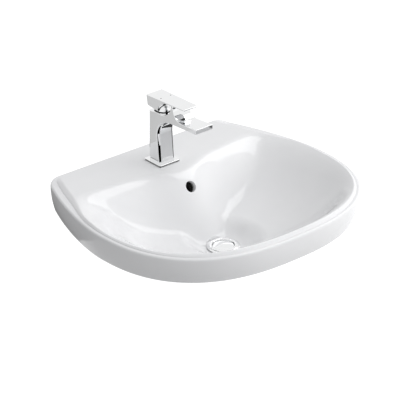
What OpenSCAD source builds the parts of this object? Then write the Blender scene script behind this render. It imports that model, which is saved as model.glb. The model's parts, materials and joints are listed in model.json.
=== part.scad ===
// Wall-hung washbasin with a single-lever tap and a click waste, in millimetres.
// +X is to the right along the wall, +Y goes into the wall and +Z is up.
// The origin is midway between the two wall-fixing holes, on the wall's face.

/* [Basin plan] */
// Overall width of the basin
basin_w = 560; // [520:10:620]
// How far the basin stands out from the wall
basin_d = 474; // [455:1:500]
// Distance from the wall to the widest line of the plan
widest_y = 224; // [210:1:240]
// Reach of the curve of each side, past the wall line, from the widest line
side_reach = 480; // [420:5:540]
// Squareness of the sides, 2 being an ellipse
side_n = 1.53; // [1.4:0.01:1.8]
// Squareness of the front, 2 being an ellipse
front_n = 2.5; // [2.2:0.05:2.8]
// Rounding of the two rear corners in plan
corner_blend = 22; // [12:1:34]

/* [Basin rim] */
// Thickness of the glazed ceramic
wall_t = 12; // [9:0.5:13]
// Width of the rim from its outer edge to the edge of the bowl
rim_w = 23; // [21:0.5:28]
// Width of the lower ledge at the front
ledge_front = 7; // [6:0.5:9]
// Width of the lower ledge at the wall
ledge_rear = 15; // [11:1:18]
// Drop from the top of the rim to the ledge
ledge_drop = 6; // [4:0.5:8]
// Width of the rise from the ledge to the top of the rim
rise_w = 6; // [4:0.5:7]
// Radius of the outer edge of the ledge
edge_r = 4; // [3:0.5:5]
// Radius of the deck's edge at the wall
wall_edge_r = 1.5; // [1:0.1:2.5]

/* [Basin apron] */
// Height of the apron at the front, from the top of the rim
apron_front = 60; // [54:1:68]
// Height of the apron beside the wall
apron_rear = 64; // [58:1:70]
// How far the apron draws in towards its foot
apron_taper = 8; // [4:0.5:12]
// Radius of the apron's foot
foot_r = 4; // [2.5:0.5:5]
// Height of the panel that lies on the wall
panel_h = 126; // [118:1:140]
// Thickness of the panel that lies on the wall
panel_t = 14; // [12:0.5:18]
// Half-width of the panel at its foot
panel_half = 168; // [164:1:176]

/* [Bowl] */
// Distance from the wall to the centre of the waste
waste_y = 261; // [255:1:267]
// Depth of the bowl at the waste
bowl_depth = 116; // [108:1:124]
// Depth of the dished floor where it meets the hollow round the waste
dish_depth = 95; // [88:1:102]
// Radius of the hollow round the waste
sump_r = 85; // [70:1:100]
// Reach of the bowl's rear corners towards the wall, from the waste
bowl_rear = 245; // [235:1:255]
// Squareness of the bowl's front, 2 being an ellipse
bowl_n = 2.4; // [2.1:0.05:2.6]
// Depth of the deck behind the bowl, away from the tap
deck_d = 116; // [110:1:120]
// Extra depth of the deck in front of the tap
tap_land = 33; // [26:1:38]
// Half-width of the deck's bulge in front of the tap
land_w = 70; // [55:1:85]
// Softness of the edge between the deck and the bowl's back
back_soft = 30; // [20:1:34]
// Softness of the edge between the rim and the bowl's sides
side_soft = 16; // [12:0.5:20]
// Softness of the valley where the bowl's back meets its floor
valley_soft = 10; // [4:0.5:16]

/* [Holes and wall fixing] */
// Distance between the two wall-fixing holes
fix_span = 280; // [240:10:290]
// Diameter of a wall-fixing hole
fix_hole_d = 16; // [12:1:20]
// Depth of the wall-fixing holes below the top of the rim
fix_drop = 70; // [62:1:78]
// Diameter of the tap hole
tap_hole_d = 35; // [34:0.5:36]
// Diameter of the waste hole
waste_hole_d = 46; // [45:0.5:48]
// Thickness of the ceramic boss round the waste hole
boss_t = 32; // [30:1:38]
// Radius of the boss round the waste hole
boss_r = 46; // [44:1:50]
// Diameter of the overflow hole
overflow_d = 22; // [18:1:24]
// Depth of the overflow hole below the top of the rim
overflow_drop = 23; // [21:1:28]
// Diameter of the overflow channel inside the ceramic
duct_d = 14; // [11:0.5:14]

/* [Tap body] */
// Distance from the wall to the centre of the tap hole
tap_y = 76; // [72:1:78]
// Side of the square base plate
plate_w = 50; // [48:0.5:54]
// Thickness of the base plate
plate_t = 3; // [2:0.5:4]
// Thickness of the rubber ring under the base plate
base_seal_t = 1; // [0.5:0.25:1.5]
// Width of the column
column_w = 39; // [38:0.5:42]
// Distance from the tap hole's centre to the column's rear face
column_rear = 18; // [17:0.5:19]
// Distance from the tap hole's centre to the foot of the column's front face
column_front = 18.5; // [18:0.5:20]
// How far the column's front face leans back up to the arch
column_lean = 5; // [3:0.5:6]
// Radius of the arch under the spout
arch_r = 36.5; // [34:0.5:38]
// Height of the centre of the arch above the deck
arch_z = 65; // [63:0.5:68]
// Reach of the spout from the tap hole's centre
spout_reach = 127.5; // [118:0.5:140]
// Rise of the spout's underside, in degrees
spout_rise = 4; // [3:0.5:6]
// Width of the spout at its tip
spout_tip_w = 42; // [40:0.5:46]
// Thickness of the spout
spout_t = 9.5; // [8.5:0.25:10.5]
// Height of the head's rear edge above the deck
head_rear = 108; // [106:0.5:109]
// Height of the head beside the cap
head_mid = 111.5; // [111:0.25:111.75]
// Height of the horn under the lever
horn_z = 136; // [132:0.5:137]
// Distance from the tap hole's centre to the horn
horn_y = 59; // [57:0.5:62]

/* [Cartridge] */
// Distance from the tap hole's centre forward to the cartridge
cart_y = 6; // [5:0.5:7]
// Radius of the cartridge
cart_r = 12; // [11.5:0.25:12.5]
// Height of the cartridge's underside above the deck
cart_z = 91; // [90:0.5:92]
// Height of the cartridge's housing
cart_h = 14; // [13:0.5:15]
// Height of the lever's pivot above the deck
pivot_z = 113; // [112:0.5:114]
// Radius of the round cap over the pivot
cap_r = 15.5; // [15:0.25:16]
// Thickness of the cap
cap_t = 1.5; // [1:0.25:2]
// Radius of the pivot pin
pin_r = 2; // [1.5:0.1:2.2]
// Width of the lever's stem
stem_w = 7; // [6:0.5:7.5]
// Running clearance between parts that turn or slide
run_gap = 0.3; // [0.2:0.05:0.4]
// Furthest that the lever lifts, in degrees
lift_max = 20; // [15:1:20]

/* [Lever] */
// Width of the lever at its rear
lever_w = 39.5; // [38:0.5:41]
// Width of the lever at its tip
lever_tip_w = 34.5; // [31:0.5:37]
// Reach of the lever's tip from the tap hole's centre
lever_reach = 88; // [82:1:95]
// Height of the lever's tip above the deck
lever_tip_z = 143.5; // [143:0.5:150]
// Thickness of the lever at its tip
lever_tip_t = 3; // [2.5:0.25:4]
// Height of the lever's rear edge above the deck
lever_rear_z = 139.5; // [138:0.5:141]
// Distance from the tap hole's centre to the lever's rear edge
lever_rear = 23; // [21:0.5:23.5]
// Diameter of an index dot
dot_d = 2.6; // [2:0.2:4]

/* [Aerator] */
// Diameter of the aerator
aerator_d = 18.5; // [17:0.5:20]
// Height of the aerator
aerator_h = 6; // [5:0.5:6.5]
// Diameter of a hole in the aerator's insert
jet_d = 1.6; // [1:0.1:1.8]

/* [Tap fastening] */
// Diameter of the tap's threaded stud
stud_d = 8; // [6:0.5:8]
// Length of the stud below the deck's top
stud_l = 60; // [48:1:75]
// Diameter of the two threaded water inlets
inlet_d = 10; // [9:0.5:10]
// Distance between the two water inlets
inlet_span = 14; // [13:0.5:15]
// Thickness of the rubber pad under the deck
pad_t = 2.5; // [2:0.25:4]
// Thickness of the steel clamping plate
clamp_t = 2.5; // [2:0.25:4]
// Diameter of the rubber pad and of the clamping plate
clamp_d = 50; // [46:1:54]
// Length of the stud's nut
nut_l = 18; // [12:1:22]
// Size of the stud's nut across its flats
nut_flats = 13; // [12:0.5:14]

/* [Waste] */
// Diameter of the waste's flange
flange_d = 65; // [62:0.5:66]
// Height of the flange
flange_h = 4; // [3:0.25:5]
// Diameter of the opening inside the flange
mouth_d = 43; // [41:0.5:44]
// Outer diameter of the waste's threaded tube
tube_d = 41.9; // [40:0.1:42.5]
// Wall of the waste's tube
tube_t = 2.5; // [2:0.25:3]
// Length of the waste's tube below the flange
tube_l = 63; // [60:1:95]
// Outer diameter of the turned spigot at the tube's end
outlet_d = 41.4; // [39:0.1:41.8]
// Length of the spigot, which goes into the trap
outlet_l = 10; // [8:0.5:11]
// Thickness of the seal under the flange
top_seal_t = 1.5; // [1:0.25:2.5]
// Diameter of the plug
plug_d = 41; // [39:0.5:41]
// How far the plug rises when it opens
plug_travel = 8; // [6:0.5:9]
// Rise of the plug's dome
plug_dome = 2.5; // [1:0.25:3]
// Height of the tapered seal under the basin
cone_seal_h = 8; // [6:0.5:9]
// Thickness of the slip washer
slip_t = 2; // [1:0.25:3]
// Height of the waste's back nut
back_nut_h = 8; // [6:0.5:9]
// Size of the waste's back nut across its flats
back_nut_flats = 60; // [56:1:64]

/* [Hidden] */

// Smoothness of round parts
round_n = 64;
// Steps round the ceramic's plan, more of them at its four quarters
plan_n = 112;
quarter_warp = 6.4;
// Clearance of a threaded or pressed joint, per side
fit_gap = 0.05;
// Overlap of a cutting shape past the face that it cuts
cut = 1;

// Basin
half_w = basin_w / 2;
bowl_half = half_w - rim_w;
bowl_front = basin_d - waste_y - rim_w;
seat_r = flange_d / 2 + 1.5;
land_edge = deck_d + tap_land;
back_run = waste_y - seat_r - land_edge;
back_slope = atan(bowl_depth / back_run);
overflow_y = land_edge + overflow_drop / tan(back_slope);
duct_wall = 8;
duct_in = wall_t + duct_d / 2;
duct_bulge = duct_d + duct_wall;
duct_half = 22;
duct_spread = 26;
boss_z = bowl_depth + boss_t;
duct_exit_z = bowl_depth + boss_t / 2;
duct_run = (duct_exit_z - overflow_drop - duct_in * cos(back_slope)) / sin(back_slope);
duct_end_y = overflow_y - duct_in * sin(back_slope) + duct_run * cos(back_slope);
bead_z = ledge_drop + edge_r;
panel_flare = 14;
// Distances from the wall between which the bowl's edge grows soft
soft_front = 200;
soft_rear = 150;

duct_start = overflow_d / 2 - 4;
// Share of a ring's draw-in that it keeps at the wall, where the ledge runs out
wall_share = 0.15;

// Tap body
body_z = base_seal_t + plate_t;
plate_r = 2.5;
column_top_y = column_front - column_lean;
arch_y = column_top_y + arch_r;
sweep_r = 22;
spout_root = horn_y + sweep_r;
head_low_y = 20;
head_low_z = head_mid - 0.5;
horn_arc_r = 33.5;
horn_rear = head_low_y + sqrt(pow(horn_arc_r, 2) - pow(horn_arc_r + head_low_z - horn_z, 2));
corner_r = 3;
shank_r = tap_hole_d / 2 - 1;
shank_z = -3;
stud_y = 10;
stud_top = 14;
inlet_y = 4;
inlet_depth = 12;
passage_r = 3;
waterway_w = 20;
waterway_h = 4;
waterway_floor = 1.5;

// Cartridge, heights above the deck
cart_floor = cart_z - 1;
cart_in = cart_r - 1.2;
nut_z = cart_z + cart_h;
nut_h = 4;
nut_r = cart_r + 1.4;
disc_z = cart_z + 2.5;
fixed_t = 2.5;
moving_t = 3;
moving_r = 7;
moving_z = disc_z + fixed_t;
carrier_z = moving_z + moving_t + run_gap;
port_z = moving_z + 0.5;
neck_r = 8.5;
neck_top = pivot_z + sqrt(pow(cap_r - cap_t, 2) - pow(neck_r, 2));
stem_t = 5;
stem_foot_z = moving_z + moving_t - 1.5;
foot_gap = 0.5;
stem_rise = 22;
stem_top = pivot_z + stem_rise;
stem_eye_r = 4.5;
stem_reach = pivot_z - stem_foot_z;
disc_offset = stem_reach * sin(lift_max) / 2;
pin_half = sqrt(pow(neck_r, 2) - pow(pin_r, 2));
cap_foot_z = nut_z + nut_h + run_gap;

// Lever
lever_arc_r = 26;
lever_arc_start = 174;
lever_arc_y = cart_y + 5 + lever_arc_r;
lever_arc_z = pivot_z - 1;
lever_low_z = lever_arc_z;
lever_foot_z = lever_low_z + 7;
lever_foot_y = lever_rear - 3.5;
crease_y = 21 - lever_rear;
crease_z = lever_rear_z + 0.8;
lever_slope = atan((lever_tip_z - crease_z) / (lever_reach - crease_y));
under_slope = atan((lever_tip_z - lever_tip_t - lever_arc_z - lever_arc_r) / (lever_reach - lever_arc_y));
dot_y = 13;
dot_span = 24;
dot_t = 0.5;
screw_r = 2.5;
screw_l = 9;
screw_key_r = 1.4;
screw_z = stem_top - screw_r - 1;

// Aerator, from the spout's underside
aerator_y = spout_reach - 14;
aerator_lip = 0.8;
aerator_seal_t = 1.2;
insert_r = aerator_d / 2 - 1.25;
jet_pitch = 2.4;

// Tap fastening, down from the deck's top
clamp_z = -wall_t - pad_t;
plate_z = clamp_z - clamp_t;
hose_gap = 1.5;

// Waste, down from the top of the rim
flange_z = -bowl_depth + top_seal_t;
tube_r = tube_d / 2;
tube_in = tube_r - tube_t;
tube_end = flange_z - tube_l;
mouth_r = mouth_d / 2;
cone_low = flange_z - 5;
cone_high = flange_z + 0.8;
flange_top = flange_z + flange_h;
flange_edge = 1.2;
slot_h = 16;
hub_r = 9;
bridge_h = 4;
bridge_z = tube_end + 20;
click_r = 6;
click_len = 30;
click_top = bridge_z + bridge_h + 20;
click_floor = 2;
click_lip = 2;
stem_r = 3;
piston_r = 4.4;
piston_t = 3;
piston_z = click_top - click_lip - plug_travel - 0.5 - piston_t;
spring_turns = 5;
spring_wire_r = 0.5;
spring_r = 3.6;
plug_r = plug_d / 2;
plug_low = cone_low - 2.5;
plug_edge_z = cone_high + 1;
cone_tilt = atan((mouth_r - tube_in) / (cone_high - cone_low));
seal_wire_r = 1.2;
seal_mid_z = cone_low + 1;
seal_mid_r = cone_at(seal_mid_z) - (seal_wire_r + 0.1) / cos(cone_tilt);
cone_r = 34;
cone_top = -boss_z;
slip_top = cone_top - cone_seal_h;
back_nut_top = slip_top - slip_t;

function arc(y, z, r, a0, a1, n) = [for (i = [0:n])
    let (a = a0 + (a1 - a0) * i / n) [y + r * cos(a), z + r * sin(a)]];

// Height of the spout's underside at a distance y in front of the tap hole's centre
function under_z(y) = arch_z + arch_r * cos(spout_rise)
    + (y - arch_y + arch_r * sin(spout_rise)) * tan(spout_rise);
// Height of the lever's top at a distance y in front of the tap hole's centre
function lever_top(y) = crease_z + (y - crease_y) * tan(lever_slope);
// Radius of the plug's cone seat at height z
function cone_at(z) = tube_in + (z - cone_low) * tan(cone_tilt);
// A square with rounded corners
function round_rect(w, d, r) = concat(
    arc(w / 2 - r, d / 2 - r, r, 0, 90, 6), arc(r - w / 2, d / 2 - r, r, 90, 180, 6),
    arc(r - w / 2, r - d / 2, r, 180, 270, 6), arc(w / 2 - r, r - d / 2, r, 270, 360, 6));

// The tap's side outline, distances forward of the hole's centre and heights
tap_side = concat(
    [[-column_rear, body_z], [column_front, body_z]],
    arc(arch_y, arch_z, arch_r, 180, 90 + spout_rise, 14),
    [[spout_reach, under_z(spout_reach)], [spout_reach, under_z(spout_reach) + spout_t]],
    arc(spout_root, under_z(spout_root) + spout_t + sweep_r, sweep_r, 270, 180, 8),
    [[horn_y, horn_z]],
    arc(head_low_y, head_low_z + horn_arc_r, horn_arc_r,
        -acos((horn_rear - head_low_y) / horn_arc_r), -90, 10),
    [[cart_y, head_mid], [-column_rear, head_rear]]);
// The tap's plan, from its rounded rear corners out to the wider tip
tap_plan = concat(
    arc(corner_r - column_w / 2, column_rear - corner_r, corner_r, 180, 90, 6),
    arc(column_w / 2 - corner_r, column_rear - corner_r, corner_r, 90, 0, 6),
    [[column_w / 2, -column_front - 10], [spout_tip_w / 2, -spout_reach - cut],
        [-spout_tip_w / 2, -spout_reach - cut], [-column_w / 2, -column_front - 10]]);
// The lever's side outline and plan
lever_side = concat(
    [[-lever_rear, lever_rear_z], [-lever_foot_y, lever_foot_z]],
    arc(lever_arc_y, lever_arc_z, lever_arc_r, lever_arc_start, 90 + under_slope, 14),
    [[lever_reach, lever_tip_z - lever_tip_t], [lever_reach, lever_tip_z], [crease_y, crease_z]]);
lever_plan = [[-lever_w / 2, lever_rear + cut], [lever_w / 2, lever_rear + cut],
    [lever_tip_w / 2, -lever_reach - cut], [-lever_tip_w / 2, -lever_reach - cut]];
// The waste's section: a low domed flange, a cone seat for the plug and the tube
waste_profile = concat(
    [[tube_in, tube_end], [outlet_d / 2, tube_end], [outlet_d / 2, tube_end + outlet_l],
        [tube_r, tube_end + outlet_l], [tube_r, flange_z], [flange_d / 2, flange_z],
        [flange_d / 2, flange_z + flange_edge]],
    [for (i = [1:5]) let (f = i / 6)
        [mix(flange_d / 2, mouth_r + 2, f),
            flange_z + flange_edge + (flange_h - flange_edge) * sin(90 * f)]],
    [[mouth_r + 1, flange_top], [mouth_r, flange_top - 1], [mouth_r, cone_high], [tube_in, cone_low]]);
// The plug's section: a low dome, a rim, a cone that clears the seat, and the stem to the piston
plug_profile = concat(
    [for (i = [0:6]) let (r = plug_r * sin(90 * i / 6))
        [r, plug_edge_z + plug_dome * (1 - pow(r / plug_r, 2))]],
    [[plug_r, plug_edge_z - 0.6], [plug_r - 1, plug_edge_z - 1.4],
        [cone_at(seal_mid_z) - 2 * seal_wire_r, seal_mid_z + seal_wire_r],
        [seal_mid_r - seal_wire_r - 0.1, seal_mid_z + seal_wire_r],
        [seal_mid_r - seal_wire_r - 0.1, seal_mid_z - seal_wire_r],
        [tube_in - 2, seal_mid_z - seal_wire_r], [tube_in - 3, plug_low], [stem_r, plug_low - 2],
        [stem_r, piston_z + piston_t], [piston_r, piston_z + piston_t], [piston_r, piston_z],
        [0, piston_z]]);

function soft_min(a, b, k) = min(a, b) - pow(max(k - abs(a - b), 0), 2) / (4 * k);
function soft_max(a, b, k) = max(a, b) + pow(max(k - abs(a - b), 0), 2) / (4 * k);
function mix(a, b, f) = a + (b - a) * f;
function ramp(v, low, high) = let (f = max(0, min(1, (v - low) / (high - low)))) f * f * (3 - 2 * f);
// Radius of a superellipse with half-axes a and b, in the direction t
function oval_r(t, a, b, n) = pow(pow(abs(cos(t)) / a, n) + pow(abs(sin(t)) / b, n), -1 / n);

// Plan angles, closer together at the four quarters where the outline turns most
angles = [for (i = [0:plan_n - 1]) let (t = 360 * i / plan_n) t - quarter_warp * sin(4 * (t - 45))];

// A point of the outline, drawn in by side_in along the curve and by wall_in from the wall
function outline(t, side_in, wall_in) =
    let (r = sin(t) > 0.001
        ? soft_min(oval_r(t, half_w - side_in, side_reach - side_in, side_n),
            (widest_y - wall_in) / sin(t), corner_blend)
        : oval_r(t, half_w - side_in, basin_d - widest_y - side_in, front_n))
    [r * cos(t), r * sin(t) - widest_y];

// Distance from the wall to the line where the bowl's back would meet the deck
function land(x) = deck_d + tap_land * exp(-pow(x / land_w, 2));

// A point of the bowl's edge, seen from the waste
function bowl_edge(t) =
    let (r = sin(t) > 0.001
        ? soft_min(oval_r(t, bowl_half, bowl_rear, 2),
            (waste_y - land((waste_y - deck_d) * cos(t) / sin(t))) / sin(t), 20)
        : oval_r(t, bowl_half, bowl_front, bowl_n))
    [r * cos(t), r * sin(t) - waste_y];

// Depth of the dished floor at a point of the plan
function dish(x, y) =
    let (v = y + waste_y)
    let (n = v > 0 ? 2 : bowl_n)
    let (rho = pow(pow(abs(x) / bowl_half, n) + pow(abs(v) / (v > 0 ? bowl_rear : bowl_front), n), 1 / n))
    mix(dish_depth * (1 - pow(rho, 3)), bowl_depth, ramp(sump_r - norm([x, v]), 0, sump_r - seat_r));

// Height of the glazed top face, from the rim down into the bowl
function glaze_z(x, y) =
    let (depth = soft_min(dish(x, y), (-y - land(x)) * tan(back_slope), valley_soft))
    -soft_max(0, depth, mix(side_soft, back_soft, ramp(y, -soft_front, -soft_rear)));

// Outward normal below the glazed face, by differences
function below(x, y) =
    let (step = 0.5)
    let (gx = (glaze_z(x + step, y) - glaze_z(x - step, y)) / (2 * step))
    let (gy = (glaze_z(x, y + step) - glaze_z(x, y - step)) / (2 * step))
    [gx, gy, -1] / norm([gx, gy, 1]);

function wallness(t) = ramp(sin(t), 0.67, 0.75);
function panelness(t) =
    ramp(sin(t), sin(atan2(widest_y, panel_half + panel_flare)), sin(atan2(widest_y, panel_half)));
function foot_z(t) = -mix(mix(apron_front, apron_rear, ramp(sin(t), -0.9, 0.75)), panel_h, panelness(t));
// The ledge and the rise beside it both widen towards the wall
function widening(t) = ramp(sin(t), 0.15, 0.5);
function ledge(t) = mix(ledge_front, ledge_rear, widening(t));
function rise(t) = rise_w * (1 + widening(t));
function ledge_plan(t, width) = outline(t, width, wall_edge_r + wall_share * (width - edge_r));
// Draw-in of the apron at a share f of its height, 0 at its foot
function draw_in(f) = apron_taper * pow(1 - f, 2);

// Rings of the ceramic, from the boss under the waste round to the flat seat of the flange
function ring_boss(r, z) = [for (t = angles)
    let (bump = duct_spread * exp(-pow((t - 90) / 30, 2)))
    [(r + bump) * cos(t), (r + bump) * sin(t) - waste_y, z]];
function bowl_at(t, s) = mix(bowl_edge(t), [seat_r * cos(t), seat_r * sin(t) - waste_y], s);
// The underside at a share s of the way from the bowl's edge, thicker round the overflow's channel
function under_at(t, s) =
    let (p = bowl_at(t, s))
    let (thick = wall_t + duct_bulge * exp(-pow(p.x / duct_half, 2)) * ramp(sin(t), 0, 0.6))
    [p.x, p.y, glaze_z(p.x, p.y)] + below(p.x, p.y) * thick;
function ring_under(s) = [for (t = angles) under_at(t, s)];
function ring_roof(f) = [for (t = angles)
    let (outer = outline(t, wall_t, panel_t))
    let (inner = under_at(t, 0.05))
    let (flat_z = -mix(wall_t + ledge_drop, wall_t, ramp(sin(t), 0.3, 0.78)))
    let (xy = mix(outer, [inner.x, inner.y], f))
    [xy.x, xy.y, f < 0.9 ? mix(flat_z, inner.z, ramp(sin(t), 0.78, 0.3) * f) : inner.z]];
function ring_inner(f) = [for (t = angles)
    let (xy = outline(t, wall_t + draw_in(f), panel_t))
    let (top = -mix(wall_t + ledge_drop, wall_t, ramp(sin(t), 0.3, 0.78)))
    [xy.x, xy.y, mix(foot_z(t), top, f)]];
function ring_foot(k) = [for (t = angles)
    let (a = 90 * k)
    let (back = panelness(t))
    let (xy = outline(t, apron_taper + foot_r * (1 - sin(a)), mix(foot_r, 1, back) * (1 - sin(a))))
    [xy.x, xy.y, foot_z(t) + foot_r * (1 - cos(a))]];
function ring_apron(f) = [for (t = angles)
    let (xy = outline(t, draw_in(f), 0))
    let (top = -mix(bead_z, wall_edge_r, wallness(t)))
    [xy.x, xy.y, mix(foot_z(t) + foot_r, top, f)]];
function ring_edge(k) = [for (t = angles)
    let (a = 90 * k)
    let (xy = outline(t, edge_r * (1 - cos(a)), wall_edge_r * (1 - cos(a))))
    [xy.x, xy.y, -mix(ledge_drop + edge_r * (1 - sin(a)), wall_edge_r * (1 - sin(a)), wallness(t))]];
function ring_ledge(f) = [for (t = angles)
    let (xy = ledge_plan(t, mix(edge_r, ledge(t), f)))
    [xy.x, xy.y, -ledge_drop * (1 - wallness(t))]];
function ring_rise(f) = [for (t = angles)
    let (xy = ledge_plan(t, ledge(t) + rise(t) * f))
    [xy.x, xy.y, mix(-ledge_drop * (1 - wallness(t)), glaze_z(xy.x, xy.y), ramp(f, -0.35, 1))]];
function ring_deck(f) = [for (t = angles)
    let (xy = mix(ledge_plan(t, ledge(t) + rise(t)), bowl_edge(t), f))
    [xy.x, xy.y, glaze_z(xy.x, xy.y)]];
function ring_bowl(s) = [for (t = angles)
    let (p = bowl_at(t, s))
    [p.x, p.y, s == 1 ? -bowl_depth : glaze_z(p.x, p.y)]];

rings = concat(
    [ring_boss(boss_r - 2, -boss_z), ring_boss(boss_r, -boss_z + 12)],
    [for (s = [0.8, 0.6, 0.42, 0.26, 0.12]) ring_under(s)],
    [for (f = [1, 0.72, 0]) ring_roof(f)],
    [for (f = [0.5, 0.04]) ring_inner(f)],
    [for (k = [0, 0.5]) ring_foot(k)],
    [for (f = [0, 0.2, 0.5, 1]) ring_apron(f)],
    [for (k = [0.35, 0.7, 1]) ring_edge(k)],
    [for (f = [0.75, 1]) ring_ledge(f)],
    [for (f = [0.3, 0.6, 1]) ring_rise(f)],
    [for (f = [0.5, 0.8, 0.92]) ring_deck(f)],
    [for (s = [0, 0.05, 0.11, 0.18, 0.27, 0.38, 0.5, 0.62, 0.73, 0.83, 0.92, 1]) ring_bowl(s)]);

// A closed skin through rings of equal length, with a flat cap on the first and the last
module skin(rings) {
    n = len(rings[0]);
    m = len(rings);
    sides = [for (j = [0:m - 2], i = [0:n - 1])
        let (a = j * n + i, b = j * n + (i + 1) % n)
        each [[a, a + n, b], [b, a + n, b + n]]];
    caps = [[for (i = [0:n - 1]) i], [for (i = [n - 1:-1:0]) (m - 1) * n + i]];
    polyhedron(points = [for (r = rings) each r], faces = concat(sides, caps), convexity = 8);
}

module at_rim() { translate([0, 0, fix_drop]) children(); }
module at_tap() { at_rim() translate([0, -tap_y, 0]) children(); }
module at_cart() { at_tap() translate([0, -cart_y, 0]) children(); }
module at_waste() { at_rim() translate([0, -waste_y, 0]) children(); }
// Puts the aerator's parts on the spout's underside, z pointing up into the spout
module under_spout() {
    translate([0, -aerator_y, under_z(aerator_y)]) rotate([-spout_rise, 0, 0]) children();
}
module at_aerator() { at_tap() under_spout() children(); }
module rod(r, z0, z1) { translate([0, 0, z0]) cylinder(r = r, h = z1 - z0, $fn = round_n); }
module tube(r, r_in, z0, z1) {
    difference() {
        rod(r, z0, z1);
        rod(r_in, z0 - cut, z1 + cut);
    }
}
// A side outline, given as distances forward of the tap hole and heights, made w wide
module from_side(points, w) {
    rotate([90, 0, -90]) translate([0, 0, -w / 2]) linear_extrude(w) polygon(points);
}

// Ceramic

module basin_body() {
    color("whitesmoke") at_rim() difference() {
        skin(rings);
        translate([0, -tap_y, 0]) rod(tap_hole_d / 2, -wall_t - 4, cut);
        translate([0, -waste_y, 0]) rod(waste_hole_d / 2, -boss_z - cut, -bowl_depth + cut);
        for (side = [-1, 1])
            translate([side * fix_span / 2, cut, -fix_drop]) rotate([90, 0, 0])
                cylinder(d = fix_hole_d, h = panel_t + 2 * cut, $fn = round_n);
        overflow();
    }
}

// The overflow's mouth, its channel behind the bowl's back, and its way into the waste hole
module overflow() {
    translate([0, -overflow_y, -overflow_drop]) rotate([back_slope, 0, 0]) {
        rod(overflow_d / 2, -duct_in, overflow_d);
        translate([0, duct_start, -duct_in]) rotate([90, 0, 0])
            cylinder(d = duct_d, h = duct_run + duct_start, $fn = round_n);
    }
    translate([0, -waste_y, -duct_exit_z]) rotate([-90, 0, 0])
        cylinder(d = duct_d, h = waste_y - duct_end_y + duct_d / 4, $fn = round_n);
}

// Tap body

module tap_body() {
    color("silver") at_tap() difference() {
        union() {
            intersection() {
                from_side(tap_side, 2 * spout_tip_w);
                translate([0, 0, body_z]) linear_extrude(horn_z) polygon(tap_plan);
            }
            rod(shank_r, shank_z, body_z + cut);
        }
        translate([0, -cart_y, 0]) cartridge_bore();
        for (side = [-1, 1]) translate([side * inlet_span / 2, -inlet_y, 0]) {
            rod(inlet_d / 2, shank_z - cut, shank_z + inlet_depth);
            rod(passage_r, shank_z, cart_floor + cut);
        }
        translate([0, stud_y, 0]) rod(stud_d / 2 + fit_gap, shank_z - cut, stud_top + cut);
        waterway();
        under_spout() rod(aerator_d / 2 + fit_gap, -2 * aerator_lip, aerator_h);
    }
}

// The seat of the cartridge, its nut and the round cap
module cartridge_bore() {
    rod(cart_r + fit_gap, cart_floor, nut_z + cut);
    rod(nut_r + fit_gap, nut_z, pivot_z);
    translate([0, 0, pivot_z]) sphere(r = cap_r + run_gap, $fn = round_n);
}

// The flat waterway from the cartridge's side, over the arch and along the spout to the aerator
module waterway() {
    bend = arch_y - 10;
    line = [[cart_y, port_z], [bend, under_z(bend) + waterway_floor],
        [aerator_y, under_z(aerator_y) + waterway_floor]];
    from_side(concat(line, [for (i = [2:-1:0]) line[i] + [0, waterway_h]]), waterway_w);
}

module base_plate() {
    color("silver") at_tap() difference() {
        translate([0, 0, base_seal_t]) linear_extrude(plate_t)
            polygon(round_rect(plate_w, plate_w, plate_r));
        rod(shank_r + fit_gap, 0, body_z + cut);
    }
}

module base_seal() {
    color("dimgray") at_tap() tube(plate_w / 2 - 3, tap_hole_d / 2, 0, base_seal_t);
}

// Cartridge

module cartridge_seal() {
    color("black") at_cart() difference() {
        rod(cart_r - 0.5, cart_floor, cart_z);
        ports(passage_r, cart_floor - cut, cart_z + cut);
    }
}

// The two ports, above the body's water passages
module ports(r, z0, z1) {
    for (side = [-1, 1]) translate([side * inlet_span / 2, cart_y - inlet_y, 0]) rod(r, z0, z1);
}

module cartridge_housing() {
    color("white") at_cart() difference() {
        rod(cart_r, cart_z, nut_z);
        rod(cart_in, disc_z, nut_z + cut);
        ports(passage_r - 0.5, cart_z - cut, disc_z + cut);
        translate([-waterway_w / 4, -cart_r - cut, port_z]) cube([waterway_w / 2, cart_r, waterway_h]);
    }
}

module fixed_disc() {
    color("ivory") at_cart() difference() {
        rod(cart_in - fit_gap, disc_z, disc_z + fixed_t);
        ports(passage_r - 0.5, disc_z - cut, disc_z + fixed_t + cut);
    }
}

module moving_disc() {
    color("linen") at_cart() translate([0, disc_offset, 0]) difference() {
        rod(moving_r, moving_z, moving_z + moving_t);
        translate([-stem_w / 2 - run_gap, -disc_offset - stem_t / 2 - foot_gap, stem_foot_z - foot_gap])
            cube([stem_w + 2 * run_gap, stem_t + 2 * foot_gap, moving_t]);
    }
}

// Turns with the lever: a flange in the housing and two cheeks that hold the pivot pin
module lever_carrier() {
    slot_w = stem_w + 2 * run_gap;
    swing = stem_reach * sin(lift_max);
    color("gray") at_cart() difference() {
        union() {
            rod(cart_in - run_gap, carrier_z, nut_z - run_gap);
            rod(neck_r, carrier_z, neck_top);
        }
        translate([-slot_w / 2, -swing - stem_t / 2 - run_gap, carrier_z - cut])
            cube([slot_w, swing + stem_t + 2 * run_gap, neck_top]);
        translate([-slot_w / 2, -2 * neck_r, nut_z - run_gap]) cube([slot_w, 4 * neck_r, neck_top]);
        translate([0, 0, pivot_z]) rotate([0, 90, 0]) rod(pin_r + fit_gap, -cart_r, cart_r);
    }
}

module pivot_pin() {
    color("gray") at_cart() translate([0, 0, pivot_z]) rotate([0, 90, 0]) rod(pin_r, -pin_half, pin_half);
}

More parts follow.
